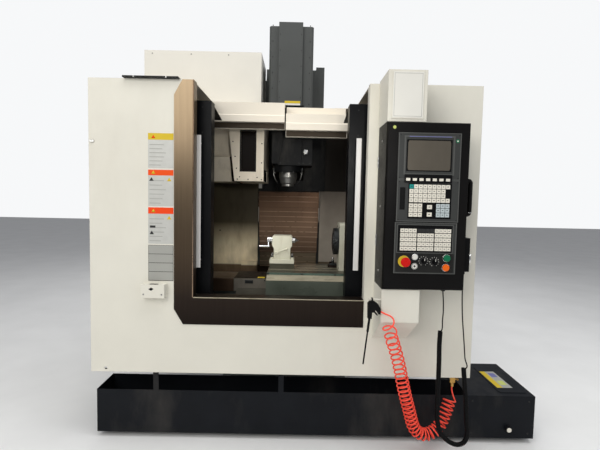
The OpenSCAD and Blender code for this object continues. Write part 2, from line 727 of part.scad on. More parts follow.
// Guard inside the chamber with a slanted flank and the window to the pots
module magazine_guard() color("#d8d2c2") placed() {
  top = cabinet_top - 8;
  difference() {
    along_y(610, z_cover_y - 19)
      polygon([[-404, top], [-166, top], [-166, 1474], [-366, 1474], [-404, 1800]]);
    along_y(613, z_cover_y - 18)
      polygon([[-401, top + 1], [-169, top + 1], [-169, 1477], [-363.5, 1477], [-401, 1800]]);
    box([-322, 600, 1546], [-226, 620, 1812]);
    box([-169.5, 640, 1476], [-165, 900, 1560]);
    box([-410, 720, 1640], [-398, z_cover_y - 18, top + 1]);
  }
  along_x(-chamber_half, -404)
    polygon([[700, top], [700, 1650], [640, 1640], [760, 1474], [chamber_back, 1474], [chamber_back, 1477],
      [763, 1477], [645, 1638], [703, 1648], [703, top]]);
}

drum_x = -690;
drum_y = 950;
drum_z = 1990;
module tool_drum() color("#8f9294") placed()
  translate([drum_x, drum_y, drum_z]) rotate([90, 0, 0]) {
    difference() {
      translate([0, 0, -16]) cylinder(r = drum_radius, h = 32, $fn = 72);
      translate([0, 0, -17]) cylinder(r = 30.05, h = 34);
      for (a = [0 : 60 : 300])
        rotate(a) translate([drum_radius * 0.52, 0, -17]) cylinder(r = 44, h = 34);
      for (i = [0 : pot_count - 1]) rotate(i * 360 / pot_count)
        translate([drum_radius, 0, -17]) cylinder(r = 28, h = 34, $fn = 20);
    }
    for (i = [0 : pot_count - 1]) rotate(i * 360 / pot_count)
      translate([drum_radius, 0, -60]) difference() {
        cylinder(r = 31, h = 112, $fn = 20);
        translate([0, 0, 40]) cylinder(r1 = 15, r2 = 23, h = 73, $fn = 20);
      }
  }

module control_pillar() color("#e0ddd4") placed() {
  x0 = control_x;
  x1 = control_x + pillar_width;
  difference() {
    along_x(x0, x1)
      polygon([[-sheet, 607], [-control_reach + 13, 756], [-control_reach + 13, control_bottom - seat],
        [-20, control_bottom - seat], [-20, control_top + seat], [-control_reach + 13, control_top + seat],
        [-control_reach + 13, cabinet_top + 10], [0, cabinet_top + 10], [0, 607]]);
    along_x(x0 + 3, x1 - 3)
      polygon([[-6, 618], [-control_reach + 16, 760], [-control_reach + 16, control_bottom - 4],
        [-6, control_bottom - 4]]);
    along_x(x0 + 3, x1 - 3)
      polygon([[-6, control_top + 4], [-control_reach + 16, control_top + 4],
        [-control_reach + 16, cabinet_top + 7], [-6, cabinet_top + 7]]);
  }
  // Peg of the air gun
  rod([gun_x - 18, peg_y, peg_z], "x", 8, control_x - gun_x + 18);
  rod([gun_x - 21, peg_y, peg_z], "x", 14, 3);
  // Blank plate in its frame on the pillar's front
  box([x0 + 20, -control_reach + 11, control_top + 14], [x1 - 16, -control_reach + 13, cabinet_top + 4]);
}

module control_housing() color("#1c1b1c") placed() {
  x1 = control_x + control_width;
  difference() {
    hull() {
      box([control_x, -210, control_bottom], [x1, -20, control_top]);
      box([control_x + 6, control_y, control_bottom + 6], [x1 - 6, -210, control_top - 6]);
    }
    box([control_x + 30, -190, control_bottom + 30], [x1 - 30, -24, control_top - 30]);
    for (p = [stop_at, start_at, hold_at, mode_at, feed_at])
      rod([p[0], control_y - 1, p[1]], "y", 14, 15);
  }
  // Grab handle on the right flank
  for (e = [[1298, 180], [1468, 0]]) {
    rod([x1, -150, e[0]], "x", 22, 24);
    translate([x1 + 24, -150, e[0] + (e[1] > 0 ? 14 : -14)]) rotate([90, 0, 0])
      rotate_extrude(angle = 90, start = e[1] > 0 ? 270 : 0) translate([14, 0]) circle(d = 22);
  }
  rod([x1 + 38, -150, 1312], "z", 22, 142);
  // Gland of the pendant's cord
  rod([lead_x, -150, control_bottom - 16], "z", 22, 16);
}

module display_unit() color("#555553") placed() {
  z0 = 1465;
  difference() {
    box([unit_x, control_y - unit_proud, z0], [unit_x + unit_w, control_y, z0 + 222]);
    box([unit_x + 38, control_y - unit_proud - 1, z0 + 38], [unit_x + 260, control_y - unit_proud + 3, z0 + 192]);
  }
  for (i = [0 : 6])
    box([unit_x + 40 + i * 32, control_y - unit_proud - 3, z0 + 10],
      [unit_x + 60 + i * 32, control_y - unit_proud, z0 + 22]);
}

module keypad_unit() color("#555553") placed() {
  z0 = 1262;
  f = control_y - unit_proud;
  difference() {
    box([unit_x, f, z0], [unit_x + unit_w, control_y, z0 + 200]);
    box([unit_x + 54, f - 1, z0 + 14], [unit_x + 264, f + 2, z0 + 184]);
    box([unit_x + 14, f - 1, z0 + 56], [unit_x + 40, f + 3, z0 + 164]);
  }
  for (r = [0 : 3], c = [0 : 8])
    if (c < 8 || r == 0 || r == 3)
      box([unit_x + 60 + c * 22, f - 2, z0 + 160 - r * 22], [unit_x + 78 + c * 22, f + 2, z0 + 178 - r * 22]);
  for (r = [0 : 2], c = [0 : 2], g = [0, 6])
    box([unit_x + 60 + (c + g) * 22, f - 2, z0 + 68 - r * 22],
      [unit_x + 78 + (c + g) * 22, f + 2, z0 + 86 - r * 22]);
  for (r = [0, 1])
    box([unit_x + 148, f - 2, z0 + 62 - r * 36], [unit_x + 170, f + 2, z0 + 80 - r * 36]);
}

panel_z = 1008;
module operator_panel() color("#555553") placed() difference() {
  f = control_y - unit_proud;
  union() {
    box([unit_x - 4, f, panel_z], [unit_x + unit_w - 4, control_y, panel_z + 248]);
    for (r = [0 : 4], g = [0 : 2], c = [0 : 3])
      box([unit_x + 16 + g * 88 + c * 19, f - 2, panel_z + 216 - r * 22],
        [unit_x + 31 + g * 88 + c * 19, f, panel_z + 232 - r * 22]);
    translate([stop_at[0], f, stop_at[1]]) rotate([90, 0, 0]) cylinder(d = 60, h = 3);
    translate([white_at[0], f, white_at[1]]) rotate([90, 0, 0]) cylinder(d = 24, h = 8);
    translate([ring_at[0], f, ring_at[1]]) rotate([90, 0, 0]) cylinder(d = 24, h = 5);
    for (p = [start_at, hold_at]) translate([p[0], f, p[1]]) rotate([90, 0, 0]) cylinder(d = 30, h = 3);
    for (p = [mode_at, feed_at]) translate([p[0], f, p[1]]) rotate([90, 0, 0]) cylinder(d = 36, h = 2);
  }
  for (p = [stop_at, start_at, hold_at, mode_at, feed_at])
    translate([p[0], control_y + 1, p[1]]) rotate([90, 0, 0]) cylinder(d = 12.1, h = 40);
}
stop_at = [598, 1066];
white_at = [648, 1090];
ring_at = [648, 1044];
mode_at = [692, 1070];
feed_at = [745, 1067];
start_at = [803, 1086];
hold_at = [800, 1040];

module push(at, d, proud, reach) translate([at[0], control_y - unit_proud, at[1]]) rotate([90, 0, 0]) {
  translate([0, 0, -unit_proud + 0.6]) cylinder(d = 12, h = proud + unit_proud);
  translate([0, 0, proud]) cylinder(d1 = d, d2 = d - 3, h = reach - proud);
}
module stop_button() color("#c62a22") placed() push(stop_at, stop_diameter, 14, stop_reach);
module start_button() color("#1e6e50") placed() push(start_at, button_diameter, 6, 14);
module hold_button() color("#e0702a") placed() push(hold_at, button_diameter, 6, 14);
module knob(at) translate([at[0], control_y - unit_proud, at[1]]) rotate([90, 0, 0]) {
  translate([0, 0, -unit_proud + 0.6]) cylinder(d = 12, h = 10);
  translate([0, 0, 2.3]) cylinder(d = 26, h = 8);
  box([-4, -14, 10], [4, 14, 22]);
}
module mode_selector() color("#1c1b1c") placed() knob(mode_at);
module feed_selector() color("#1c1b1c") placed() knob(feed_at);

pend_z = 1013;
module pendant() color("#3a3c3c") placed() {
  x = control_x + control_width;
  box([x, -176, pend_z + 40], [x + 6, -124, pend_z + 150]);
  difference() {
    round_box([x + 6, -190, pend_z], [x + 36, -110, pend_z + 168], 6);
    rod([x + 20, -150, pend_z + 60], "x", 10.1, 20);
  }
  rod([x + 21, -150, pend_z - 18], "z", 16, 18);
}
module pendant_wheel() color("#c9c9c6") placed() {
  x = control_x + control_width;
  rod([x + 24, -150, pend_z + 60], "x", 10, 14);
  rod([x + 36.3, -150, pend_z + 60], "x", 58, 9);
  rod([x + 45.3, -150, pend_z + 80], "x", 9, 12);
}

module holder_box() color("#e6e4de") placed() difference() {
  box([-759, -46, 812], [-632, 0, 884]);
  box([-756, -43, 815], [-635, -3, 881]);
  translate([-710, -23, 880]) cylinder(d = 24, h = 5);
  translate([-680, -23, 880]) cylinder(d = 24, h = 5);
  box([-710, -35, 880], [-680, -11, 885]);
}

gun_x = 458;
gun_y = -216;
gun_z = 810;
peg_y = -206;
peg_z = gun_z + 58;
module air_gun() color("#1d1d1f") placed() {
  translate([gun_x, 0, gun_z]) difference() {
    along_y(gun_y - 13, gun_y + 13)
      polygon([[-26, -34], [-28, 40], [-18, 52], [4, 52], [22, 40], [36, 16], [36, -12], [24, -10],
        [10, 9], [4, -2], [-6, -3], [-8, -34]]);
    along_y(gun_y - 6.3, gun_y + 6.3)
      polygon([[-5, -6], [-5, 12], [7, 12], [14, 4], [30, -14], [30, -30], [-5, -30]]);
  }
  rod([gun_x, gun_y - 13, gun_z + 6], "y", 4, 26);
  // Lance and hanging eye
  translate([gun_x - 17, gun_y, gun_z - 33]) rotate([0, 186, 0]) {
    cylinder(d = 12, h = 70);
    cylinder(d = 8, h = 236);
  }
  difference() {
    rod([gun_x - 8, peg_y, peg_z], "x", 20, 6);
    rod([gun_x - 9, peg_y, peg_z], "x", 8.6, 8);
  }
}
module gun_trigger() color("#3a3c3c") placed()
  translate([gun_x, 0, gun_z]) difference() {
    along_y(gun_y - 6, gun_y + 6) polygon([[-3.5, 3], [-3.5, 9], [3, 9.5], [24, -16], [19, -20]]);
    rod([0, gun_y - 7, 6], "y", 4.3, 14);
  }

module coolant_tank() color("#1f2326") placed() {
  difference() {
    union() {
      box([20 - half, 20, 30], [tank_right, 20 + tank_channel, tank_top]);
      box([half + 10, 20, 30], [tank_right, 480, tank_top]);
    }
    box([23 - half, 23, 33], [half + 6, 17 + tank_channel, tank_top + 1]);
  }
  for (x = [-960, -450, 100, 640, 1380]) rod([x, 120, 0], "z", 70, 30);
  rod([1380, 420, 0], "z", 70, 30);
  round_box([half + 200, 60, tank_top], [tank_right - 20, 420, tank_top + 3], 20);
  rod([tank_right - 150, 20 - 22, 90], "y", 34, 22);
  // Hangers that carry the front channel from the skirt
  for (x = [-700, 0, 700]) box([x - 15, 20, tank_top - 4], [x + 15, 23, skirt_height]);
}

module electrical_cabinet() color("#dad7ce") placed() {
  y0 = column_setback + column_depth + 25;
  y1 = back_y - 22;
  difference() {
    box([-600, y0, 300], [600, y1, 2150]);
    box([-570, y0 + 20, 330], [-20, y1 + 1, 2120]);
  }
  box([-550, y0 + 20, 400], [-40, y0 + 23, 2060]);
  for (z = [620, 1000, 1380, 1760]) box([-520, y0 + 23, z], [-80, y0 + 140, z + 240]);
  difference() {
    box([3, y1, 320], [580, back_y, 2130]);
    for (i = [0 : 12]) box([180, back_y - 3, 420 + i * 24], [420, back_y + 1, 428 + i * 24]);
  }
  for (x = [-480, 480]) box([x - 40, y0 + 60, 0], [x + 40, y1 - 60, 300]);
  for (z = [700, 1900]) box([-130, column_setback + column_depth, z], [130, y0, z + 60]);
}

module cabinet_door() color("#dad7ce") placed() difference() {
  union() {
    box([-577, back_y - 22 + seat, 320], [-2, back_y, 2130]);
    for (z = [420, 1200, 1980]) rod([-577, back_y, z], "z", 12, 60);
    rod([-60, back_y, 1420], "y", 50, 14);
    box([-66, back_y + 14, 1396], [-54, back_y + 26, 1444]);
    box([-110, back_y, 1150], [-90, back_y + 14, 1290]);
  }
  for (i = [0 : 12]) box([-420, back_y - 3, 420 + i * 24], [-180, back_y + 1, 428 + i * 24]);
}

module air_fitting() color("#b08d4a") placed() {
  x = half - 86;
  box([x - 30, 22, skirt_height - 3], [x + 30, 40, skirt_height]);
  box([x - 14, 24, skirt_height - 40], [x + 14, 38, skirt_height - 3]);
  rod([x, 31, skirt_height - 62], "z", 18, 22);
  rod([x + 14, 31, skirt_height - 20], "x", 10, 12);
  rod([x + 26, 31, skirt_height - 20], "x", 22, 5);
}

// Cords: rings of points swept along the route
function ring(p, t, r, n) = let(
    u0 = abs(t[2]) < 0.8 ? cross([0, 0, 1], t) : cross([1, 0, 0], t),
    u = u0 / norm(u0), v = cross(t, u))
  [for (i = [0 : n - 1]) p + r * (cos(i * 360 / n) * u + sin(i * 360 / n) * v)];
function along(path, s, i = 0) =
  i >= len(path) - 2 || s <= norm(path[i + 1] - path[i])
    ? path[i] + (path[i + 1] - path[i]) * s / norm(path[i + 1] - path[i])
    : along(path, s - norm(path[i + 1] - path[i]), i + 1);
module tube(points, r, n = 8) {
  m = len(points);
  dirs = [for (i = [0 : m - 1]) let(d = points[min(i + 1, m - 1)] - points[max(i - 1, 0)]) d / norm(d)];
  rings = [for (i = [0 : m - 1]) each ring(points[i], dirs[i], r, n)];
  sides = [for (i = [0 : m - 2], k = [0 : n - 1])
    [i * n + k, i * n + (k + 1) % n, (i + 1) * n + (k + 1) % n, (i + 1) * n + k]];
  polyhedron(concat(rings), concat(sides, [[for (k = [n - 1 : -1 : 0]) k]],
    [[for (k = [0 : n - 1]) (m - 1) * n + k]]), convexity = 6);
}
// Smooth curve through the route's points
function spline(p, k) = [for (i = [0 : len(p) - 2], j = [0 : k - 1]) let(
    t = j / k, a = p[max(i - 1, 0)], b = p[i], c = p[i + 1], d = p[min(i + 2, len(p) - 1)])
  0.5 * (2 * b + (c - a) * t + (2 * a - 5 * b + 4 * c - d) * t * t + (3 * b - a - 3 * c + d) * t * t * t),
  p[len(p) - 1]];

lead_x = 824;
pend_cord_x = control_x + control_width + 21;
hose_route = [[527, -256, 762], [541, -236, 712], [560, -208, 662], [578, -182, 620],
  [612, -158, 515], [650, -130, 371], [686, -110, 253], [722, -92, 148], [770, -78, 104],
  [824, -66, 106], [872, -54, 142], [911, -38, 219], [938, -22, 288]];
hose_start = [[gun_x + 36, -223, gun_z + 2], [505, -226, gun_z - 1], [517, -240, gun_z - 18],
  [526, -255, gun_z - 44], [528, -257, gun_z - 52]];
hose_end = [[937, -23, 284], [948, 2, 302], [half - 86, 31, skirt_height - 62]];
cord_down = [[820, -150, 696], [818, -150, 620], [820, -150, 540], [821, -150, 384],
  [822, -150, 300], [828, -150, 214]];
cord_up = [[984, -150, 132], [978, -150, 220], [968, -150, 333], [958, -150, 420],
  [949, -150, 504]];
lead_down = [[lead_x, -150, control_bottom - 16], [830, -150, 820], [832, -150, 740],
  [820, -150, 690]];
cord_loop = [[827, -150, 218], [846, -150, 160], [884, -150, 118], [930, -150, 96],
  [968, -150, 100], [984, -150, 136]];
lead_up = [[949, -150, 500], [952, -150, 545], [944, -150, 650], [930, -150, 780],
  [924, -150, 900], [pend_cord_x, -150, pend_z - 18]];

module air_hose_coil() color("#f2624c") placed() tube(spline(hose_route, 2), hose_coil / 2, 12);
module air_hose_leads() color("#f2624c") placed() {
  tube(spline(hose_start, 3), hose_thickness / 2, 8);
  tube(spline(hose_end, 3), hose_thickness / 2, 8);
}
module pendant_cord_coils() color("#18181a") placed() {
  tube(spline(cord_down, 2), cord_coil / 2, 8);
  tube(spline(cord_up, 2), cord_coil / 2, 8);
}
module pendant_cord_leads() color("#18181a") placed() {
  tube(spline(lead_down, 4), cord_thickness / 2, 8);
  tube(spline(cord_loop, 3), cord_thickness / 2, 8);
  tube(spline(lead_up, 5), cord_thickness / 2, 8);
}

machine_base();
levelling_feet();
column();
front_panel();
door_surround();
side_panels();
roof_panel();
chamber_liner();
chip_pan();
control_pillar();
control_housing();
display_unit();
keypad_unit();
operator_panel();
air_fitting();
pendant();
magazine_housing();
magazine_guard();
coolant_tank();
electrical_cabinet();
air_gun();
air_hose_coil();
air_hose_leads();
pendant_cord_coils();
pendant_cord_leads();
holder_box();
door_left();
door_left_glass();
door_left_handle();
door_right();
door_right_glass();
door_right_handle();
saddle();
x_cover_left_1();
x_cover_left_2();
x_cover_right_1();
x_cover_right_2();
y_cover_front();
y_cover_rear();
table();
tailstock();
tail_quill();
tail_handwheel();
rotary_table();
faceplate();
head_casting();
head_cover();
spindle();
z_cover_1();
z_cover_2();
z_cover_3();
tool_drum();
cabinet_door();
stop_button();
start_button();
hold_button();
mode_selector();
feed_selector();
pendant_wheel();
gun_trigger();
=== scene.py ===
import math

import bmesh
import bpy
from mathutils import Matrix, Vector


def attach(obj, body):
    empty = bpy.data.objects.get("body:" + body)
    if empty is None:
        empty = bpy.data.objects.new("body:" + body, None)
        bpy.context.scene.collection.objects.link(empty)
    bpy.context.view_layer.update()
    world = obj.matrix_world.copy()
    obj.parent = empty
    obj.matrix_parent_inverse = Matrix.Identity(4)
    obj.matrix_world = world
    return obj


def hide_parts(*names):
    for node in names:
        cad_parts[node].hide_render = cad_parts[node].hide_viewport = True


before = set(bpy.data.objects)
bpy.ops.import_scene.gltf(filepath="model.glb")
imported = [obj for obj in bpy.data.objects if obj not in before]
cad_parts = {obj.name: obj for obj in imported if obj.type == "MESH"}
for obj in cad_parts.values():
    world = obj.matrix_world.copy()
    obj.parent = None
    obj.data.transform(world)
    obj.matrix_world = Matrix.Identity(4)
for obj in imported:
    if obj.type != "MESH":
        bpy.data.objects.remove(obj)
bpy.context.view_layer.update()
scene = bpy.context.scene

# The working frame of the construction is in millimetres: X goes right from the spindle's axis,
# Y goes into the machine from the front sheet, and Z goes up from the floor. The scene is in
# metres, and its origin is at this place of the working frame.
X_MID, Y_MID = 0.192, 0.8815


def place(x, y, z):
    """A point given in millimetres of the working frame."""
    return Vector((x / 1000 - X_MID, y / 1000 - Y_MID, z / 1000))


def add(name, data):
    """A new object in the scene."""
    made = bpy.data.objects.new(name, data)
    scene.collection.objects.link(made)
    return made


def corners(name):
    """The low and high corner of a fixed node, in whole millimetres of the working frame."""
    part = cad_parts[name]
    spots = [part.matrix_world @ vert.co - place(0, 0, 0) for vert in part.data.vertices]
    return [[round(1000 * end(spot[k] for spot in spots)) for k in range(3)] for end in (min, max)]


def circle(count, radius, first=0, step=None):
    """Steps along two axes to places round a circle, from an angle in degrees."""
    for k in range(count):
        angle = math.radians(first + k * (step or 360 / count))
        yield radius * math.cos(angle), radius * math.sin(angle)


# Materials; the numbers are the places of the sockets of a colour mix
MIX_FACTOR, MIX_FIRST, MIX_SECOND, MIX_RESULT = 0, 6, 7, 2


def linear(value):
    """One channel of a written colour, from 0 to 255, as linear light."""
    if value > 10:
        return ((value / 255 + 0.055) / 1.055) ** 2.4
    return value / 255 / 12.92


def srgb(red, green, blue):
    return linear(red), linear(green), linear(blue)


def new_material(name):
    """A new material with its node tree and its shader."""
    material = bpy.data.materials.new(name)
    material.use_nodes = True
    tree = material.node_tree
    return material, tree, tree.nodes["Principled BSDF"]


def fill(target, values):
    """Gives each value to the input of that name, or else to the node itself."""
    for key, value in values.items():
        if key in target.inputs:
            target.inputs[key].default_value = value
        else:
            setattr(target, key, value)


def node(tree, kind, **values):
    made = tree.nodes.new(kind)
    fill(made, values)
    return made


def coords(tree, scale=(1, 1, 1)):
    """Object coordinates in metres, times a scale."""
    source = node(tree, "ShaderNodeTexCoord")
    mapping = node(tree, "ShaderNodeMapping", Scale=scale)
    tree.links.new(source.outputs["Object"], mapping.inputs["Vector"])
    return mapping.outputs["Vector"]


def noise(tree, scale, stretch=(1, 1, 1), detail=4.0, rough=0.55):
    made = node(tree, "ShaderNodeTexNoise", Scale=scale, Detail=detail, Roughness=rough)
    tree.links.new(coords(tree, stretch), made.inputs["Vector"])
    return made.outputs["Fac"]


def ramp(tree, value, stops):
    """Colours over a value of 0 to 1; a stop is its place and its colour in linear light."""
    made = node(tree, "ShaderNodeValToRGB")
    elements = made.color_ramp.elements
    for i, (at, color) in enumerate(stops):
        element = elements[i] if i < 2 else elements.new(at)
        element.position = at
        element.color = (*color, 1)
    tree.links.new(value, made.inputs["Fac"])
    return made.outputs["Color"]


def fit(tree, value, ends, low, high):
    """A value moved to 0 to 1 from the range low to high, or to that range where ends is To."""
    made = node(tree, "ShaderNodeMapRange", **{ends + " Min": low, ends + " Max": high})
    tree.links.new(value, made.inputs["Value"])
    return made.outputs["Result"]


def along(tree, axis, start, end):
    """A value that goes from 0 to 1 between two places on an object's axis, in metres."""
    parts = node(tree, "ShaderNodeSeparateXYZ")
    tree.links.new(coords(tree), parts.inputs["Vector"])
    return fit(tree, parts.outputs[axis], "From", start, end)


def wander(tree, shader, field, low, high):
    """A roughness that follows a noise between two ends."""
    tree.links.new(fit(tree, field, "To", low, high), shader.inputs["Roughness"])


def mix(tree, first, second, amount, mode="MIX"):
    """Two colours mixed by an amount; each of the three is a socket or a plain value."""
    made = node(tree, "ShaderNodeMix", data_type="RGBA", blend_type=mode)
    for socket, value in ((MIX_FIRST, first), (MIX_SECOND, second), (MIX_FACTOR, amount)):
        if isinstance(value, bpy.types.NodeSocket):
            tree.links.new(value, made.inputs[socket])
        elif socket == MIX_FACTOR:
            made.inputs[socket].default_value = value
        else:
            made.inputs[socket].default_value = (*value, 1)
    return made.outputs[MIX_RESULT]


# Kinds of finish
SPECULAR = 0.1
GLASS_SPECULAR = 0.06
BUMP_DEPTH = 0.0004
BEVEL_SAMPLES = 4
STAIN_STRETCH = (1, 1, 0.35)
BRUSH_STRETCH = (1, 1, 0.02)
# The brushed steel's painted reflection goes from dark at its foot to light at its top, at these heights
# in metres.
BAND_FOOT, BAND_TOP = 0.65, 1.98


def surface(name, color, rough=0.5, metal=0.0, grain=0.04, grain_scale=6.0, bump=0.02,
            bump_scale=300.0, stretch=(1, 1, 1), edge=0.0015, rough_var=0.12, coat=0.0,
            stain=None, fades=()):
    """A finish with colour drift, a roughness that wanders, fine bump and soft edges.

    A stain is the scale of its patches, their colour and their strength. A fade is an axis, where
    it starts and where it is full, in metres, and what it multiplies the colour by.
    """
    material, tree, shader = new_material(name)
    color = srgb(*color)
    dark = tuple(c * (1 - grain) for c in color)
    light = tuple(min(1, c * (1 + grain)) for c in color)
    paint = ramp(tree, noise(tree, grain_scale, stretch), [(0.3, dark), (0.7, light)])
    if stain:
        scale, tone, strength = stain
        patches = noise(tree, scale, STAIN_STRETCH, 6.0, 0.65)
        amount = ramp(tree, patches, [(0.52, (0, 0, 0)), (0.75, (strength,) * 3)])
        paint = mix(tree, paint, srgb(*tone), amount)
    for axis, start, full, factor in fades:
        paint = mix(tree, paint, factor, along(tree, axis, start, full), "MULTIPLY")
    tree.links.new(paint, shader.inputs["Base Color"])
    wander(tree, shader, noise(tree, grain_scale * 3, stretch),
           max(0.02, rough - rough_var), min(1, rough + rough_var))
    fill(shader, {"Metallic": metal, "Coat Weight": coat, "Specular IOR Level": SPECULAR})
    bevel = node(tree, "ShaderNodeBevel", Radius=edge, samples=BEVEL_SAMPLES)
    relief = node(tree, "ShaderNodeBump", Strength=min(1, bump * 10), Distance=BUMP_DEPTH)
    tree.links.new(noise(tree, bump_scale, stretch, 2.0), relief.inputs["Height"])
    tree.links.new(bevel.outputs["Normal"], relief.inputs["Normal"])
    tree.links.new(relief.outputs["Normal"], shader.inputs["Normal"])
    return material


def brushed_band_painted_reflection():
    """Brushed steel with a painted reflection: tan hall tones painted at the top and dark floor tones at
    the sill, under brushed streaks.
    """
    material, tree, shader = new_material("brushed_band_painted_reflection")
    reflection_tones = [(0.0, srgb(34, 28, 25)), (0.12, srgb(50, 42, 37)), (0.3, srgb(90, 76, 62)),
             (0.6, srgb(116, 100, 80)), (1.0, srgb(136, 119, 96))]
    base = ramp(tree, along(tree, "Z", BAND_FOOT, BAND_TOP), reflection_tones)
    lines = noise(tree, 90, BRUSH_STRETCH, 6.0, 0.7)
    streaks = ramp(tree, lines, [(0.3, (0.86, 0.86, 0.86)), (0.7, (1, 1, 1))])
    tree.links.new(mix(tree, base, streaks, 1.0, "MULTIPLY"), shader.inputs["Base Color"])
    wander(tree, shader, noise(tree, 140, BRUSH_STRETCH), 0.22, 0.42)
    fill(shader, {"Metallic": 0.7, "Anisotropic": 0.5, "Specular IOR Level": SPECULAR})
    return material


def glass(name, color, rough, alpha):
    """A pane with a cloudy tint; an alpha of 1 is a dark pane that isn't seen through."""
    material, tree, shader = new_material(name)
    tint = srgb(*color)
    light = tuple(min(1, c * 1.25) for c in tint)
    clouds = ramp(tree, noise(tree, 5, (1, 1, 0.4), 5.0), [(0.35, tint), (0.7, light)])
    tree.links.new(clouds, shader.inputs["Base Color"])
    wander(tree, shader, noise(tree, 12, (1, 1, 0.5)), rough, rough + 0.12)
    fill(shader, {"Alpha": alpha, "Specular IOR Level": GLASS_SPECULAR})
    return material


# Fades that darken paints inside the machine: painted shade high on the chamber's walls and the back
# wall, right of the chamber's corner and up the column cover; darker at the chamber's foot
WALL_SHADE = ("Z", 0.885, 1.16, (0.08, 0.077, 0.07))
FOOT_SHADE = ("Z", 0.818, 0.808, (0.2, 0.16, 0.14))
CORNER_SHADE = ("X", -0.447, -0.437, (0.22, 0.2, 0.19))
COVER_SHADE = ("Z", 1.1, 1.38, (0.3, 0.27, 0.25))
BACK_SHADE = ("Z", 0.9, 1.5, (0.3, 0.28, 0.27))

# Paints of the cabinet, the roof and the tank
CREAM = surface("cream_paint", (221, 218, 206), 0.42, grain=0.02, bump=0.03, bump_scale=700,
                edge=0.0025, stain=(1.3, (186, 176, 160), 0.25))
WHITE = surface("white_paint", (214, 211, 202), 0.45, grain=0.02, edge=0.0025)
BEAM = surface("beam_paint", (228, 220, 205), 0.42, grain=0.02, edge=0.003)
# Painted shade in the recesses under the roof beams.
RECESS_SHADE = surface("beam_recess_painted_shade", (64, 56, 46), 0.55, grain=0.06, edge=0.0006)
DOOR = surface("door_paint", (14, 15, 17), 0.38, grain=0.12, bump=0.04, bump_scale=900, edge=0.002)
HANDLE = surface("handle_paint", (214, 212, 209), 0.3, grain=0.02, edge=0.003, coat=0.2)
HEAD_COVER = surface("head_cover_paint", (77, 79, 78), 0.42, grain=0.05, bump=0.04, bump_scale=700,
                     edge=0.0025)
TANK = surface("tank_paint", (22, 24, 28), 0.42, grain=0.15, bump=0.05, edge=0.003,
               stain=(3.0, (90, 86, 80), 0.3))

# Walls and covers of the work chamber
# The chamber's paint takes painted shade from its fades, high on the walls and right of the corner, and
# is darker at its foot.
CHAMBER = surface("chamber_paint", (226, 211, 178), 0.45, grain=0.08, grain_scale=3, edge=0.002,
                  stain=(4.0, (96, 84, 66), 0.6), fades=(WALL_SHADE, FOOT_SHADE, CORNER_SHADE))
# Skins of painted shade for the back wall: a lighter copy of its paint that darkens upward, and a painted
# shadow above it.
WALL_LOW_SHADED = surface("wall_low_painted_shade", (186, 176, 162), 0.42, grain=0.12,
                   stain=(3.0, (70, 62, 54), 0.6), fades=(BACK_SHADE,))
WALL_SHADOW = surface("wall_shadow_paint", (42, 38, 34), 0.4, grain=0.15,
                    stain=(3.0, (30, 26, 22), 0.6))
GUARD = surface("guard_paint", (232, 222, 203), 0.42, edge=0.002,
                stain=(5.0, (120, 108, 86), 0.4))
# The column cover's steel darkens higher up by painted shade.
COVER = surface("cover_steel", (100, 80, 65), 0.36, 0.75, grain=0.18, grain_scale=5, bump=0.03,
                stain=(4.0, (58, 44, 34), 0.8), fades=(COVER_SHADE,))
# A painted highlight along the grooves of the column cover and the left edge of the opening, darkened
# higher up by the same painted shade.
RIB_HIGHLIGHT = surface("rib_painted_highlight", (150, 128, 108), 0.3, 0.6, grain=0.2, grain_scale=9,
                    edge=0.0004, fades=(COVER_SHADE,))
GREY_COVER = surface("cover_front_grey", (112, 107, 98), 0.4, 0.3, grain=0.1,
                     stain=(5.0, (60, 56, 52), 0.5))
DARK_TOP = surface("cover_top_dark", (40, 34, 29), 0.5, 0.2, grain=0.2, grain_scale=10)
TRAY = surface("drip_tray", (72, 70, 62), 0.4, 0.3, grain=0.15, stain=(8.0, (36, 32, 28), 0.6))

# Castings, the table and machined metal
GREY = surface("grey_paint", (112, 116, 112), grain=0.08, stain=(5.0, (60, 54, 46), 0.6))
CASTING = surface("casting_paint", (122, 128, 124), 0.55, grain=0.06, bump=0.08, bump_scale=120)
DARK_HEAD = surface("head_dark", (14, 15, 16), 0.5, grain=0.12, grain_scale=9, bump=0.05,
                    edge=0.003, stain=(6.0, (84, 80, 72), 0.35))
PALE = surface("pale_green_paint", (207, 205, 186), 0.35, grain=0.03, bump=0.03, edge=0.003,
               coat=0.05, stain=(14.0, (150, 140, 110), 0.35))
TABLE = surface("table_iron", (88, 87, 75), 0.32, 0.55, grain=0.12, grain_scale=14, bump=0.03,
                stretch=(0.2, 1, 1), stain=(9.0, (70, 66, 56), 0.5))
TEAL_WET = surface("table_edge_wet", (92, 110, 100), 0.25, 0.4, grain=0.15, grain_scale=12,
                   stretch=(0.3, 1, 1))
TEAL_FRONT = surface("table_front_wet", (92, 98, 88), 0.3, 0.3, grain=0.25, grain_scale=4,
                     edge=0.001, stain=(3.0, (20, 26, 26), 0.7))
# A painted highlight along the table's lips and gutter floor and along the sill.
LIP_HIGHLIGHT = surface("table_lip_painted_highlight", (180, 172, 150), 0.3, 0.3, grain=0.12, grain_scale=12,
              stretch=(0.25, 1, 1), edge=0.0008, stain=(10.0, (120, 112, 84), 0.5))
STEEL = surface("machined_steel", (178, 178, 176), 0.28, 0.9, grain=0.08, bump=0.03,
                stretch=(1, 1, 12), edge=0.001)
NOSE = surface("nose_steel", (122, 121, 118), 0.34, 0.8, grain=0.12, grain_scale=20, edge=0.001)
CHROME = surface("chrome", (222, 222, 220), 0.12, 1.0, grain=0.03, bump=0.0, edge=0.001,
                 rough_var=0.05)
DARK_IRON = surface("dark_iron", (58, 60, 60), 0.38, 0.6, grain=0.15, grain_scale=20, edge=0.0012)
RUSTY = surface("rusty_iron", (36, 27, 23), 0.6, 0.3, grain=0.3, grain_scale=40, bump=0.1,
                edge=0.002)
BRASS = surface("brass", (190, 150, 84), 0.3, 0.95, grain=0.08, edge=0.001)

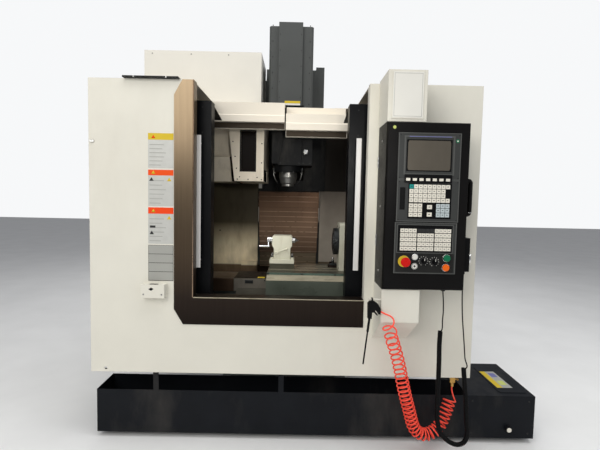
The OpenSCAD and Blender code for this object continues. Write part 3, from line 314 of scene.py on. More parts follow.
# The control, its keys and buttons
CONTROL = surface("control_paint", (17, 16, 16), 0.42, grain=0.12, bump=0.08, bump_scale=1100,
                  edge=0.003)
UNIT = surface("unit_grey", (62, 63, 62), bump=0.03, bump_scale=900, edge=0.001)
UNIT_LIGHT = surface("unit_rim", (84, 85, 83), 0.42, grain=0.06, edge=0.0008)
PANEL_DARK = surface("panel_dark", (38, 38, 37), grain=0.08, edge=0.0006)
BLACK = surface("black_plastic", (16, 16, 17), 0.4, grain=0.15, bump=0.05, bump_scale=800,
                edge=0.0012)
KEY = surface("key_cream", (224, 219, 206), 0.42, edge=0.0008)
KEY_BLUE = surface("key_blue", (186, 196, 198), 0.42, edge=0.0008)
KEY_TEAL = surface("key_teal", (40, 138, 132), 0.4, edge=0.0008)
KEY_DARK = surface("key_dark", (52, 52, 52), 0.45, edge=0.0008)
RED = surface("red_plastic", (200, 22, 16), 0.28, coat=0.4)
GREEN = surface("green_plastic", (18, 108, 72), 0.3, coat=0.4)
ORANGE = surface("orange_plastic", (236, 104, 22), 0.3, coat=0.4)

# Prints, seals and cords
YELLOW = surface("yellow_print", (208, 180, 52), 0.45, grain=0.03, edge=0.0006)
LABEL = surface("label_silver", (190, 190, 185), 0.4, 0.1, grain_scale=30, edge=0.0006)
LABEL_GREY = surface("label_grey", (162, 162, 156), 0.45, edge=0.0006)
LABEL_ORANGE = surface("label_orange", (232, 82, 30), 0.45, grain=0.03, edge=0.0006)
LABEL_RED = surface("label_red", (234, 72, 30), 0.45, grain=0.03, edge=0.0006)
LABEL_WHITE = surface("label_white", (224, 222, 214), 0.45, grain=0.02, edge=0.0006)
LABEL_BLUE = surface("bar_blue", (110, 112, 160), 0.45, edge=0.0004)
LABEL_LIME = surface("dot_lime", (188, 196, 112), 0.45, edge=0.0004)
SEAL = surface("seal_black", (20, 20, 20), 0.6, grain=0.1, edge=0.001)
HOSE = surface("hose_coral", (255, 88, 70), 0.32, grain=0.05, bump=0.0, edge=0.0005, coat=0.08)
CORD = surface("cord_black", (14, 14, 15), 0.45, grain=0.2, bump=0.04, bump_scale=900, edge=0.0005)

# Brushed steel with a painted reflection, and panes
BAND = brushed_band_painted_reflection()
WINDOW = glass("door_window", (70, 74, 72), 0.04, 0.55)
SCREEN = glass("screen_glass", (84, 79, 71), 0.08, 1.0)
DARK_GLASS = glass("magazine_window", (15, 9, 6), 0.25, 1.0)

# What each node of the construction is made of
NODE_MATERIAL = {
    CREAM: "front_panel side_panels control_pillar holder_box",
    WHITE: "magazine_housing electrical_cabinet cabinet_door",
    BEAM: "roof_panel",
    CHAMBER: "chamber_liner",
    GUARD: "magazine_guard",
    GREY: "chip_pan saddle",
    CASTING: "machine_base",
    DOOR: "door_left door_right",
    HANDLE: "door_left_handle door_right_handle",
    CONTROL: "control_housing",
    UNIT: "display_unit keypad_unit operator_panel",
    BLACK: "air_gun gun_trigger mode_selector feed_selector pendant",
    DARK_HEAD: "head_casting",
    HEAD_COVER: "head_cover column",
    TANK: "coolant_tank",
    BAND: "door_surround",
    COVER: "x_cover_left_1 x_cover_left_2 x_cover_right_1 x_cover_right_2 y_cover_front "
           "y_cover_rear z_cover_1 z_cover_2 z_cover_3",
    STEEL: "levelling_feet tail_quill tool_drum",
    NOSE: "spindle",
    CHROME: "tail_handwheel pendant_wheel",
    TABLE: "table",
    PALE: "tailstock rotary_table",
    DARK_IRON: "faceplate",
    BRASS: "air_fitting",
    RED: "stop_button",
    GREEN: "start_button",
    ORANGE: "hold_button",
    WINDOW: "door_left_glass door_right_glass",
    HOSE: "air_hose_coil air_hose_leads",
    CORD: "pendant_cord_coils pendant_cord_leads",
}
for material, names in NODE_MATERIAL.items():
    for name in names.split():
        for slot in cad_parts[name].material_slots:
            slot.material = material


# Building of meshes
SHARP_ANGLE = 0.6
SMOOTH_AREA = 2e-4
BEVEL_SEGMENTS = 2
TURN_TO = {"x": Matrix.Rotation(math.pi / 2, 4, "Y"), "y": Matrix.Rotation(-math.pi / 2, 4, "X"),
           "z": Matrix.Identity(4)}


class Piece:
    """Collects solids in millimetres of the working frame into one object on a body."""

    def __init__(self, name, body):
        self.name = name
        self.body = body
        self.mesh = bmesh.new()
        self.materials = []
        self.ready = self.mesh.faces.layers.int.new("ready")

    def finish(self, verts, material, bevel):
        """Rounds the sharp edges of a new solid, gives it its material and smooths small faces."""
        if material not in self.materials:
            self.materials.append(material)
        if bevel:
            edges = {e for v in verts for f in v.link_faces for e in f.edges}
            sharp = [e for e in edges if len(e.link_faces) == 2 and e.calc_face_angle(0) > SHARP_ANGLE]
            bmesh.ops.bevel(self.mesh, geom=sharp, offset=bevel / 1000, segments=BEVEL_SEGMENTS,
                            profile=0.5, affect="EDGES", clamp_overlap=True)
        for face in self.mesh.faces:
            if not face[self.ready]:
                face[self.ready] = 1
                face.material_index = self.materials.index(material)
                face.smooth = len(face.verts) <= 4 and face.calc_area() < SMOOTH_AREA

    def box(self, low, high, material, bevel):
        """A block between two corners."""
        low, high = place(*low), place(*high)
        matrix = Matrix.Translation((low + high) / 2) @ Matrix.Diagonal((*(high - low), 1))
        made = bmesh.ops.create_cube(self.mesh, size=1, matrix=matrix)
        self.finish(made["verts"], material, bevel)

    def rim(self, across, up, widths, depth, material, bevel):
        """Four bars round a rectangle that faces the front, with widths for its sides and ends."""
        (left, right), (foot, top), (side, end), (front, back) = across, up, widths, depth
        self.box((left, front, foot), (left + side, back, top), material, bevel)
        self.box((right - side, front, foot), (right, back, top), material, bevel)
        self.box((left + side, front, foot), (right - side, back, foot + end), material, bevel)
        self.box((left + side, front, top - end), (right - side, back, top), material, bevel)

    def rod(self, foot, axis, radius, height, material, bevel, sides=32):
        """A round bar that starts at its foot and goes along an axis."""
        middle = Matrix.Translation((0, 0, height / 2000))
        matrix = Matrix.Translation(place(*foot)) @ TURN_TO[axis] @ middle
        made = bmesh.ops.create_cone(self.mesh, cap_ends=True, segments=sides, matrix=matrix,
                                     radius1=radius / 1000, radius2=radius / 1000,
                                     depth=height / 1000)
        self.finish(made["verts"], material, bevel)

    def prism(self, axis, outline, low, high, material, bevel):
        """An outline of two coordinates pushed along an axis from low to high."""
        def corner(u, v, w):
            at = {"x": (w, u, v), "y": (u, w, v), "z": (u, v, w)}[axis]
            return self.mesh.verts.new(place(*at))

        near, far = ([corner(u, v, w) for u, v in outline] for w in (low, high))
        faces = [self.mesh.faces.new(near), self.mesh.faces.new(far[::-1])]
        for a, b, c, d in zip(near, far, far[1:] + far[:1], near[1:] + near[:1]):
            faces.append(self.mesh.faces.new((d, c, b, a)))
        bmesh.ops.recalc_face_normals(self.mesh, faces=faces)
        self.finish(near + far, material, bevel)

    def tube(self, points, radius, material, sides):
        """A bent round bar along points."""
        line = [place(*point) for point in points]
        rings = []
        for i, at in enumerate(line):
            along_line = (line[min(i + 1, len(line) - 1)] - line[max(i - 1, 0)]).normalized()
            helper = Vector((0, 0, 1)) if abs(along_line.z) < 0.9 else Vector((1, 0, 0))
            u = along_line.cross(helper).normalized()
            w = along_line.cross(u)
            angles = [2 * math.pi * k / sides for k in range(sides)]
            rings.append([self.mesh.verts.new(at + (u * math.cos(a) + w * math.sin(a)) * radius / 1000)
                          for a in angles])
        for near, far in zip(rings, rings[1:]):
            for k in range(sides):
                after = (k + 1) % sides
                self.mesh.faces.new((near[k], near[after], far[after], far[k]))
        self.mesh.faces.new(rings[0][::-1])
        self.mesh.faces.new(rings[-1])
        self.finish([vert for ring in rings for vert in ring], material, 0)

    def screw(self, at, axis, radius, proud, material):
        """A cap screw's head with its socket, which stands out of a face against the axis."""
        k = "xyz".index(axis)
        head, socket = list(at), list(at)
        head[k] = at[k] - proud
        socket[k] = at[k] - proud - 0.05
        self.rod(head, axis, radius, proud, material, radius * 0.12, 20)
        self.rod(socket, axis, radius * 0.45, 0.25, SEAL, 0, 6)

    def screws(self, across, face, up, radius, proud, material=STEEL):
        """A grid of screws in a face that looks to the front."""
        for x in across:
            for z in up:
                self.screw((x, face, z), "y", radius, proud, material)

    def done(self):
        """Makes the object and puts it on its body."""
        mesh = bpy.data.meshes.new(self.name)
        self.mesh.normal_update()
        self.mesh.to_mesh(mesh)
        self.mesh.free()
        for material in self.materials:
            mesh.materials.append(material)
        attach(add(self.name, mesh), self.body)


def piece(body="machine"):
    """Builds the piece that the function below shapes, under its name and on a body."""
    def build(shape):
        made = Piece(shape.__name__, body)
        shape(made)
        made.done()
        return shape

    return build


# Front sheet
LABEL_LEFT, LABEL_RIGHT = -733, -597
HOLDER_FRONT = corners("holder_box")[0][1]


@piece()
def front_labels(labels):
    """Three warning labels with coloured headers, and a grey one with four fields."""
    for low, split, top, tone in ((1509, 1659, 1694, YELLOW), (1305, 1470, 1500, LABEL_ORANGE),
                                  (1101, 1264, 1298, LABEL_RED)):
        labels.box((LABEL_LEFT, -0.6, low), (LABEL_RIGHT, 0, split), LABEL, 0.2)
        labels.box((LABEL_LEFT, -0.8, split), (LABEL_RIGHT, 0, top), tone, 0.2)
        for i in range(6):
            z = low + 14 + i * (split - low - 20) / 6
            labels.box((-726, -0.8, z), (-665 + (i * 37) % 28, -0.6, z + 4), LABEL_GREY, 0)
        triangle = [(-716, split + 8), (-694, split + 8), (-705, split + 26)]
        labels.prism("y", triangle, -1.0, -0.8, LABEL_ORANGE if tone is YELLOW else YELLOW, 0)
    for x, z, tone in ((-715, 1440, KEY_DARK), (-620, 1440, YELLOW), (-620, 1234, YELLOW),
                       (-714, 1152, KEY_DARK)):
        labels.prism("y", [(x - 12, z), (x + 12, z), (x, z + 20)], -0.9, -0.6, tone, 0)
    labels.box((-724, -0.9, 1188), (-694, -0.6, 1200), KEY_DARK, 0)
    labels.box((LABEL_LEFT, -0.6, 898), (LABEL_RIGHT, 0, 1094), KEY_DARK, 0.2)
    for i in range(4):
        low = 901 + i * 48.5
        labels.box((LABEL_LEFT + 2, -0.8, low), (LABEL_RIGHT - 2, -0.6, low + 46), LABEL_GREY, 0.2)


@piece()
def sill_painted_highlights(lip):
    """Painted highlights along the edges of the surround at the sill and the left side of the opening."""
    lip.box((-489, -4.8, 807.5), (445, -2, 812), LIP_HIGHLIGHT, 0.6)
    lip.box((-494, -4.8, 812), (-489, -4, 1976), RIB_HIGHLIGHT, 0.2)


@piece()
def stop_strip_cover(strip):
    strip.box((-860, -24.6, 1978), (-566, 30, 1986.8), BLACK, 0.8)
    strip.screws((-800, -630), -24.6, (1982,), 3.6, 1.5)


@piece()
def holder_box_inside(holder):
    """The dark hole in the top of the holder box, and the diamond and screws on its front."""
    opening = [(-712, -35), (-678, -35), (-670, -23), (-678, -11), (-712, -11), (-720, -23)]
    holder.prism("z", opening, 882.2, 884.4, SEAL, 0.4)
    diamond = [(-717, 861), (-702, 870), (-689, 862), (-703, 852)]
    holder.prism("y", diamond, HOLDER_FRONT - 0.6, HOLDER_FRONT, SEAL, 0.2)
    holder.screws((-744, -647), HOLDER_FRONT, (832,), 4.5, 2)


# Control
FACE = -234
SHEET_FACE = corners("control_pillar")[0][1]
PENDANT_SIDE = corners("pendant")[1][0]
PENDANT_MIDDLE = sum(corner[1] for corner in corners("pendant")) / 2
KEY_STEP, SMALL_KEY_STEP, FIELD_STEP = 22, 20, 84
SELECTORS = {"mode_selector": (692, 1070), "feed_selector": (745, 1067)}
SELECTOR_FACE = -256
START, HOLD = (803, 1086), (800, 1040)


@piece()
def display_details(display):
    """The screen in its rim."""
    display.rim((579, 823), (1486, 1674), (8, 8), (FACE - 1.2, FACE), UNIT_LIGHT, 0.5)
    display.box((602, FACE - 1.6, 1668), (806, FACE - 1.2, 1671), LABEL_BLUE, 0.1)
    ground = [(592, 1505), (810, 1505), (810, 1655), (592, 1655)]
    display.prism("y", ground, -231.9, -231.05, BLACK, 0.2)
    pane = [(602, 1509), (800, 1509), (804, 1520), (804, 1640), (800, 1651), (602, 1651),
            (598, 1640), (598, 1520)]
    display.prism("y", pane, -233.6, -231.9, SCREEN, 0.8)


@piece()
def unit_rims(rims):
    """A rim and four screws for each of the three units."""
    for name in ("display_unit", "keypad_unit", "operator_panel"):
        (left, _, foot), (right, _, top) = corners(name)
        rims.rim((left - 1, right + 1), (foot - 1, top + 1), (5, 4), (FACE - 0.9, FACE + 5),
                 UNIT_LIGHT, 0.6)
        rims.screws((left + 9, right - 9), FACE, (foot + 9, top - 9), 3.2, 1.2, KEY_DARK)


def keycap(keys, x, z, y, tone, width=18, height=18):
    """A cap over a key; all but the dark ones have a plain dash as their legend."""
    keys.box((x - 1, y - 1, z - 1), (x + width + 1, y + 1.6, z + height + 1), tone, 0.9)
    if tone is not KEY_DARK:
        keys.box((x + width * 0.28, y - 1.15, z + height * 0.45),
                 (x + width * 0.66, y - 1, z + height * 0.62), KEY_DARK, 0)


@piece()
def keypad_caps(keys):
    """The letter keys, two blocks of keys under them and two keys between the blocks."""
    keys.box((606.2, -232.3, 1276.2), (815.8, -232, 1445.8), BLACK, 0)
    keys.box((566.4, -231.3, 1318.4), (591.6, -231, 1425.6), SEAL, 0)
    left, face = 612, FACE - 2
    for row in range(4):
        for column in range(9):
            if column < 8 or row in (0, 3):
                tone = KEY_TEAL if row == column == 0 else KEY
                keycap(keys, left + column * KEY_STEP, 1422 - row * KEY_STEP, face, tone)
    for row in range(3):
        for column in (0, 1, 2, 6, 7, 8):
            tone = KEY_BLUE if column > 5 else KEY
            keycap(keys, left + column * KEY_STEP, 1330 - row * KEY_STEP, face, tone)
    for z in (1324, 1288):
        keycap(keys, left + 4 * KEY_STEP, z, face, KEY, 22)


@piece()
def operator_caps(keys):
    """Three fields of keys in a rim; the top row of the middle field is dark."""
    keys.box((562, FACE - 2.3, 1112), (828, FACE, 1244), BLACK, 0.6)
    keys.rim((558, 832), (1108, 1248), (4, 4), (FACE - 2.8, FACE), UNIT_LIGHT, 0.5)
    for field in range(3):
        for row in range(5):
            for column in range(4):
                tone = KEY_DARK if field == 1 and row == 0 else KEY
                x = 575 + field * FIELD_STEP + column * SMALL_KEY_STEP
                keycap(keys, x, 1209 - row * KEY_STEP, FACE - 2.6, tone, 17, 17)


@piece()
def soft_key_frame(bar):
    """The bar with seven plain keys under the screen."""
    bar.box((585, FACE - 4, 1449), (814, FACE - 0.2, 1489), BLACK, 0.5)
    for i in range(7):
        left = 592 + i * 32
        bar.box((left, FACE - 5.6, 1458), (left + 20, FACE - 3.9, 1471), KEY, 0.7)


@piece()
def operator_rings(rings):
    """The rings under the buttons, and the dials round the selectors."""
    rings.box((556, FACE - 0.6, 1014), (840, FACE, 1106), PANEL_DARK, 0.2)
    for (x, z), proud, radius, height, tone, bevel, sides in (
            ((595, 1067), 4.6, 28, 1.8, YELLOW, 0.5, 48),
            ((648, 1090), 9.6, 13, 2.2, LABEL_WHITE, 0.8, 32),
            ((648, 1090), 8, 16, 3, CHROME, 0.8, 32),
            ((648, 1044), 5.8, 16, 3, LABEL_GREY, 0.8, 32),
            ((648, 1044), 7, 11, 1.4, LABEL_WHITE, 0.5, 32),
            ((648, 1044), 7.4, 5, 0.5, KEY_DARK, 0.2, 32),
            (START, 5.4, 19, 5, CHROME, 1.0, 40),
            (HOLD, 5.4, 19, 5, CHROME, 1.0, 40)):
        rings.rod((x, FACE - proud, z), "y", radius, height, tone, bevel, sides)
    for x, z in SELECTORS.values():
        for up, across in circle(11, 22, -150, 30):
            rings.rod((x + across, FACE - 1, z + up), "y", 1.7, 0.4, LABEL_WHITE, 0, 8)
        rings.rod((x, FACE - 2.6, z), "y", 18.4, 0.8, KEY_DARK, 0.2, 40)


def button_caps():
    """Two steps of plastic on each of the three sprung buttons."""
    for name, (x, z), radius, y, thick, tone in (("stop_button", (598, 1066), 23.5, -267.6, 7, RED),
                                                 ("start_button", START, 17, -248.4, 5, GREEN),
                                                 ("hold_button", HOLD, 17, -248.4, 5, ORANGE)):
        cap = Piece(name + "_cap", name)
        cap.rod((x, y, z), "y", radius - 1.2, thick, tone, 1.6, 48)
        cap.rod((x, y + 1.4, z), "y", radius, thick - 1.4, tone, 1.2, 48)
        cap.done()


button_caps()


def selector_marks():
    for name, (x, z) in SELECTORS.items():
        mark = Piece(name + "_mark", name)
        mark.box((x - 1.2, SELECTOR_FACE - 0.3, z + 3), (x + 1.2, SELECTOR_FACE + 0.2, z + 15),
                 LABEL_WHITE, 0.1)
        mark.done()


selector_marks()


@piece()
def round_stickers(stickers):
    """The lime and green dots of the control, and the framed white sheet above it."""
    stickers.rod((531, -228.4, 1713), "y", 8, 0.4, LABEL_LIME, 0.1)
    stickers.rod((835, -234.6, 1651), "y", 8.5, 0.6, GREEN, 0.1)
    stickers.rod((835, -234.9, 1651), "y", 3.5, 0.3, LABEL_WHITE, 0.1)
    stickers.box((520, SHEET_FACE - 0.5, 1761), (667, SHEET_FACE, 1978), LABEL_WHITE, 0.1)
    front, back = SHEET_FACE - 0.7, SHEET_FACE - 0.5
    for z in (1767, 1970):
        stickers.box((526, front, z), (661, back, z + 1.6), LABEL_GREY, 0)
    for x in (526, 659.4):
        stickers.box((x, front, 1767), (x + 1.6, back, 1971.6), LABEL_GREY, 0)


@piece()
def control_housing_details(housing):
    """Round caps and small handles on the left side, and a chrome cap at the right."""
    for z in (1000, 1330, 1660):
        housing.rod((494.5, -118, z), "x", 6, 2.5, STEEL, 0.5)
    for z in (1150, 1560):
        housing.tube([(497, -30, z - 28), (494.6, -30, z - 28), (494.6, -30, z + 28),
                      (497, -30, z + 28)], 3, STEEL, 10)
    housing.rod((PENDANT_SIDE, PENDANT_MIDDLE, 1306), "z", 14, 3, CHROME, 0.6)


@piece()
def pendant_details(pendant):
    """A red button, two white ones and the dots round the pendant's wheel."""
    for y, z, radius, height, tone, bevel in ((-150, 1150, 8, 2, RED, 0.5),
                                              (-172, 1140, 4, 1.2, LABEL_WHITE, 0.3),
                                              (-128, 1140, 4, 1.2, LABEL_WHITE, 0.3)):
        pendant.rod((PENDANT_SIDE + 0.2, y, z), "x", radius, height, tone, bevel)
    for up, across in circle(20, 32):
        pendant.rod((PENDANT_SIDE - 0.1, PENDANT_MIDDLE + across, 1073 + up), "x", 1.1, 0.5,
                    LABEL_WHITE, 0, 8)


# Work chamber and head
GUARD_FRONT = corners("magazine_guard")[0][1]
BACK_WALL = 1140
HEAD_FRONT = 575
COVER_FRONT, SHOULDER_FRONT = 765, 790
SPINDLE_Y = 700


@piece()
def magazine_guard_details(guard):
    """The pane of the magazine's guard in its seal, and the screws round it."""
    pane = (-321.5, GUARD_FRONT + 0.4, 1546.5), (-226.5, GUARD_FRONT + 2.6, 1811.5)
    guard.box(*pane, DARK_GLASS, 0.3)
    guard.rim((-330, -218), (1538, 1820), (8, 8), (GUARD_FRONT - 1.4, GUARD_FRONT), SEAL, 0.6)
    for x, z in ((-345, 1486), (-272, 1486), (-180, 1486), (-352, 1560), (-180, 1600), (-362, 1640),
                 (-180, 1730), (-378, 1740), (-180, 1850), (-390, 1850), (-210, 1500), (-330, 1502)):
        guard.screw((x, GUARD_FRONT, z), "y", 4.2, 2, KEY_DARK)


@piece()
def chamber_wall_skins(walls):
    """The back wall right of the column in skins of painted shade: a painted shadow above, and below a
    lighter copy of the paint whose painted shade deepens upward.
    """
    for foot, top, tone in ((1424, 1962, WALL_SHADOW), (846, 1424, WALL_LOW_SHADED)):
        walls.box((252, BACK_WALL - 0.8, foot), (981, BACK_WALL, top), tone, 0)
    walls.screws((-560, -700), BACK_WALL, (1090,), 6, 3, KEY_DARK)


@piece("head")
def coolant_nozzles(nozzles):
    """A bent pipe with a nozzle on each side of the spindle."""
    for side in (1, -1):
        nozzles.rod((side * 98, 640, 1556), "z", 8, 14, DARK_IRON, 1)
        nozzles.tube([(side * 98, 640, 1556), (side * 97, 638, 1530), (side * 90, 640, 1500),
                      (side * 76, 648, 1474)], 3.6, NOSE, 14)
        nozzles.tube([(side * 77, 647, 1476), (side * 70, 652, 1464)], 2.6, DARK_IRON, 12)


@piece("head")
def head_front_details(knob):
    """The lobed chrome knob and the screws on the front of the head."""
    knob.rod((120, 552.6, 1675), "y", 13.6, 2.6, CHROME, 0.8)
    for across, up in circle(6, 15.5):
        knob.rod((120 + across, 567, 1675 + up), "y", 2.2, 3, STEEL, 0.3, 12)
    for x, z in ((-50, 1600), (76, 1600), (104, 1600), (150, 1600), (104, 1790), (150, 1790)):
        knob.screw((x, HEAD_FRONT, z), "y", 4, 1.8, KEY_DARK)


@piece("head")
def coolant_ring_nozzles(ring):
    for across, deep in circle(8, 98, 22.5):
        ring.rod((across, SPINDLE_Y + deep, 1537), "z", 5, 7, NOSE, 0.4, 16)


@piece("head")
def head_cover_label(label):
    """A white label with a yellow header and three triangles."""
    label.box((-36, COVER_FRONT - 0.6, 1983), (75, COVER_FRONT, 2040), LABEL_WHITE, 0.1)
    label.box((-36, COVER_FRONT - 0.8, 2040), (75, COVER_FRONT, 2057), YELLOW, 0.1)
    for x in (-24, 10, 44):
        triangle = [(x, 1992), (x + 20, 1992), (x + 10, 2010)]
        label.prism("y", triangle, COVER_FRONT - 0.9, COVER_FRONT - 0.6, YELLOW, 0)


@piece("head")
def head_cover_screws(cover):
    cover.screws((-128, 138), SHOULDER_FRONT, range(2040, 2600, 110), 4, 1.8, KEY_DARK)
    cover.screws((-74, 76), COVER_FRONT, range(2080, 2600, 110), 3.2, 1.5, KEY_DARK)


# Table and what it carries
TABLE_LEFT, TABLE_RIGHT = -110, 690
TABLE_FRONT, GUTTER_BACK = 215, 305
TABLE_TOP = 900
SLOTS = (412, 498, 585)
ROTARY_LEFT, ROTARY_FRONT = 346, 412
COVER_EDGE = 385


@piece("table")
def table_details(table):
    """Bolts, gutter edges and front of the table, a painted highlight along the gutter's lip and floor,
    and painted highlights on the lips of its slots.
    """
    back = GUTTER_BACK
    table.screws((-102, 107, 313, 520), back - 0.5, (893,), 5.5, 4, DARK_IRON)
    inner, right = TABLE_LEFT + 0.5, TABLE_RIGHT - 0.5
    table.box((inner, back - 0.5, 887), (right, back, 899.4), TEAL_WET, 0.1)
    # Painted highlights along the top of the gutter's lip and on its sloping floor.
    table.box((TABLE_LEFT, TABLE_FRONT - 0.4, 868), (TABLE_RIGHT, 227.4, 868.8), LIP_HIGHLIGHT, 0.3)
    slope = [(228, 863.2), (304.8, 885.8), (304.8, 886.4), (228, 863.8)]
    table.prism("x", slope, inner, right, LIP_HIGHLIGHT, 0)
    table.box((TABLE_LEFT, TABLE_FRONT - 0.8, 757.5), (TABLE_RIGHT, TABLE_FRONT, 866), TEAL_FRONT, 0.2)
    # Painted highlights on both lips of each slot.
    for y in SLOTS:
        for front in (y - 19, y + 8.5):
            table.box((TABLE_LEFT + 0.4, front, TABLE_TOP), (TABLE_RIGHT - 0.4, front + 10.5, 900.25),
                      LIP_HIGHLIGHT, 0)


@piece("table")
def drip_tray_skin(tray):
    slope = [(240.5, 768.1), (384.5, 781.1), (384.5, 781.6), (240.5, 768.6)]
    tray.prism("x", slope, -299.5, -110.5, TRAY, 0)
    tray.box((-299.8, 239.3, 764.8), (-110.5, 240, 768.6), TRAY, 0.2)


@piece("table")
def clamp_pile(clamp):
    """Clamp plates with their stud and nuts, left on the table."""
    clamp.box((287, 540, 900.3), (353, 600, 912), RUSTY, 3)
    clamp.box((296, 548, 912), (344, 592, 926), DARK_IRON, 3)
    clamp.rod((320, 570, 926), "z", 11, 20, DARK_IRON, 1, 6)
    clamp.rod((320, 570, 946), "z", 6.5, 18, STEEL, 0.6, 20)
    clamp.rod((303, 556, 926), "z", 8, 12, RUSTY, 1, 6)


@piece("table")
def tailstock_bolts(bolts):
    for x in (-90, 42):
        for y in (470, 530):
            bolts.rod((x, y, 974.2), "z", 9, 9, DARK_IRON, 1, 6)
            bolts.rod((x, y, 983), "z", 6, 12, STEEL, 0.6, 20)


@piece("table")
def rotary_table_details(rotary):
    """Four screws beside the faceplate, a dark plate and a chrome plug."""
    for y in (424, 556):
        for z in (916, 1180):
            rotary.screw((ROTARY_LEFT, y, z), "x", 6, 2, KEY_DARK)
    rotary.box((380, ROTARY_FRONT - 0.8, 1090), (440, ROTARY_FRONT, 1150), DARK_IRON, 0.4)
    rotary.rod((470, ROTARY_FRONT - 3.6, 960), "y", 14, 3.6, CHROME, 0.8)


@piece("table")
def left_cover_skin(covers):
    """Front and top of the cover left of the table, with its catch, screws and yellow mark."""
    face = COVER_EDGE - 0.6
    covers.box((-327, face, 762), (-111, COVER_EDGE, 843), GREY_COVER, 0.2)
    covers.box((-327, COVER_EDGE, 845), (-111, 632, 845.3), DARK_TOP, 0)
    covers.box((-256, 382.6, 812), (-203, face, 834), DARK_IRON, 0.8)
    covers.box((-248, 381.8, 820), (-211, 382.6, 826), SEAL, 0.3)
    covers.screws((-129,), face, (778, 832), 4, 1.6, SEAL)
    covers.box((-177, 400, 845.3), (-130, 436, 846.6), YELLOW, 0.5)


# Roof and coolant tank
BEAM_FACE = 475
MAGAZINE_FRONT = corners("magazine_housing")[0][1]
TANK_TOP = 278
TANK_FRONT = 20
TANK_KNOB = (1284, 90)


@piece()
def beam_recess_skin(beams):
    """Painted shade on the recesses under the two roof beams."""
    for left, right, foot in ((-486, -24, 1808), (-12, 380, 1762)):
        beams.box((left, BEAM_FACE - 0.8, foot), (right, BEAM_FACE, foot + 37), RECESS_SHADE, 0)


@piece()
def tank_details(tank):
    """The label on the tank, with a bar and two patches, its lobed knob and four screws."""
    print_foot = TANK_TOP + 0.7
    for outline, foot, top, tone, bevel in (
            ([(1257, 342), (1349, 346), (1357, 119), (1265, 116)], TANK_TOP, print_foot, LABEL_GREY, 0.2),
            ([(1257, 342), (1290, 343), (1298, 118), (1265, 116)], print_foot, 279, YELLOW, 0),
            ([(1300, 318), (1338, 319), (1340, 262), (1302, 261)], print_foot, 278.9, LABEL_BLUE, 0),
            ([(1304, 212), (1342, 213), (1344, 156), (1306, 155)], print_foot, 278.9, LABEL_LIME, 0)):
        tank.prism("z", outline, foot, top, tone, bevel)
    knob_x, knob_z = TANK_KNOB
    tank.rod((knob_x, -4.4, knob_z), "y", 13, 2.6, KEY, 0.6)
    for across, up in circle(8, 16):
        tank.rod((knob_x + across, -2, knob_z + up), "y", 2.4, 20, BLACK, 0.4, 10)
    tank.screws((1080, 1400), TANK_FRONT, (60, 245), 5, 2.5, KEY_DARK)


@piece()
def side_clip(clip):
    clip.box((-1044, -6, 1640), (-1020, 0, 1652), STEEL, 0.8)


@piece()
def magazine_housing_details(housing):
    housing.screws((-960, -690, -430), MAGAZINE_FRONT, (2010, 2350), 5, 2, LABEL_GREY)


# Doors
DOOR_FRONT = 110


def door_seals():
    """A seal on both faces of each window."""
    for name, left, right in (("door_left", -830.5, -549.5), ("door_right", 484.5, 786.5)):
        seal = Piece(name + "_seal", name)
        for depth in ((DOOR_FRONT - 2, DOOR_FRONT), (DOOR_FRONT + 3, DOOR_FRONT + 5)):
            seal.rim((left - 14, right + 14), (1046, 1774), (19, 19), depth, SEAL, 0.8)
        seal.done()


door_seals()


def door_edges():
    """The screws down the closing edge of each door."""
    for name, x in (("door_left", -469), ("door_right", 404)):
        stile = Piece(name + "_edge", name)
        stile.screws((x,), DOOR_FRONT, (1000, 1240, 1480, 1720, 1860), 3.6, 1.4, KEY_DARK)
        stile.done()


door_edges()


# Column cover: five plates, of which each lower one lies further back and is narrower
PLATE_FRONT, PLATE_HALF, PLATE_STEP = 1104, 244, 4
PLATE_TOP, PLATE_RISE, RIB_STEP = 950, 122, 40


def cover_lines():
    """Painted highlights on the ribs of the plates of the column cover, and the bands of the plate on the
    head.
    """
    for level, body in enumerate(("machine", "z_cover_1", "z_cover_2", "z_cover_3", "head")):
        step = (4 - level) * PLATE_STEP
        front, half, top = PLATE_FRONT + step, PLATE_HALF - step, PLATE_TOP + level * PLATE_RISE
        lines = Piece("cover_lines_%d" % level, body)
        for rib in range(4) if level < 4 else (1, 2):
            z = top - 20 - RIB_STEP * rib
            lines.box((-half, front - 0.5, z - 4.6), (half, front, z - 0.2), RIB_HIGHLIGHT, 0.2)
        if level == 4:
            for low, high in ((1378.5, 1413.5), (1338.5, 1373.5), (1289, 1333.5)):
                lines.box((-half - 0.5, front - 0.5, low), (half + 0.5, front, high), COVER, 0.2)
        lines.done()


cover_lines()

# Camera: where the photo was taken from, how far it was turned right, down and round, in degrees,
# and its focal length and width in pixels
CAMERA_AT = (75.4, -2217.4, 1360.4)
YAW, PITCH, ROLL = 0.32, 3.66, 1.19
FOCAL_PIXELS, WIDTH_PIXELS = 410, 600
SENSOR = 36


def set_camera():
    yaw, pitch, roll = math.radians(YAW), math.radians(PITCH), math.radians(ROLL)
    ahead = Vector((math.sin(yaw) * math.cos(pitch), math.cos(yaw) * math.cos(pitch),
                    -math.sin(pitch)))
    level = Vector((math.cos(yaw), -math.sin(yaw), 0))
    above = level.cross(ahead)
    right = math.cos(roll) * level + math.sin(roll) * above
    up = -math.sin(roll) * level + math.cos(roll) * above
    camera = add("camera", bpy.data.cameras.new("camera"))
    camera.data.sensor_width = SENSOR
    camera.data.lens = SENSOR * FOCAL_PIXELS / WIDTH_PIXELS
    turn = Matrix((right, up, -ahead)).transposed().to_4x4()
    camera.matrix_world = Matrix.Translation(place(*CAMERA_AT)) @ turn
    scene.camera = camera
    scene.view_settings.view_transform = "Standard"


# Studio
WORLD_LIGHT, WORLD_STRENGTH = (0.93, 0.95, 1.0, 1), 0.3
BACKDROP = (0.93, 0.94, 0.95, 1)
FLOOR_TONES = [(0.3, (0.8, 0.8, 0.79)), (0.7, (0.86, 0.86, 0.85))]
FLOOR_SIZE = 40
SPOTS_AT = (0.35, -3.2, 1.75)
SPOT_COLOR = (1, 0.97, 0.91)


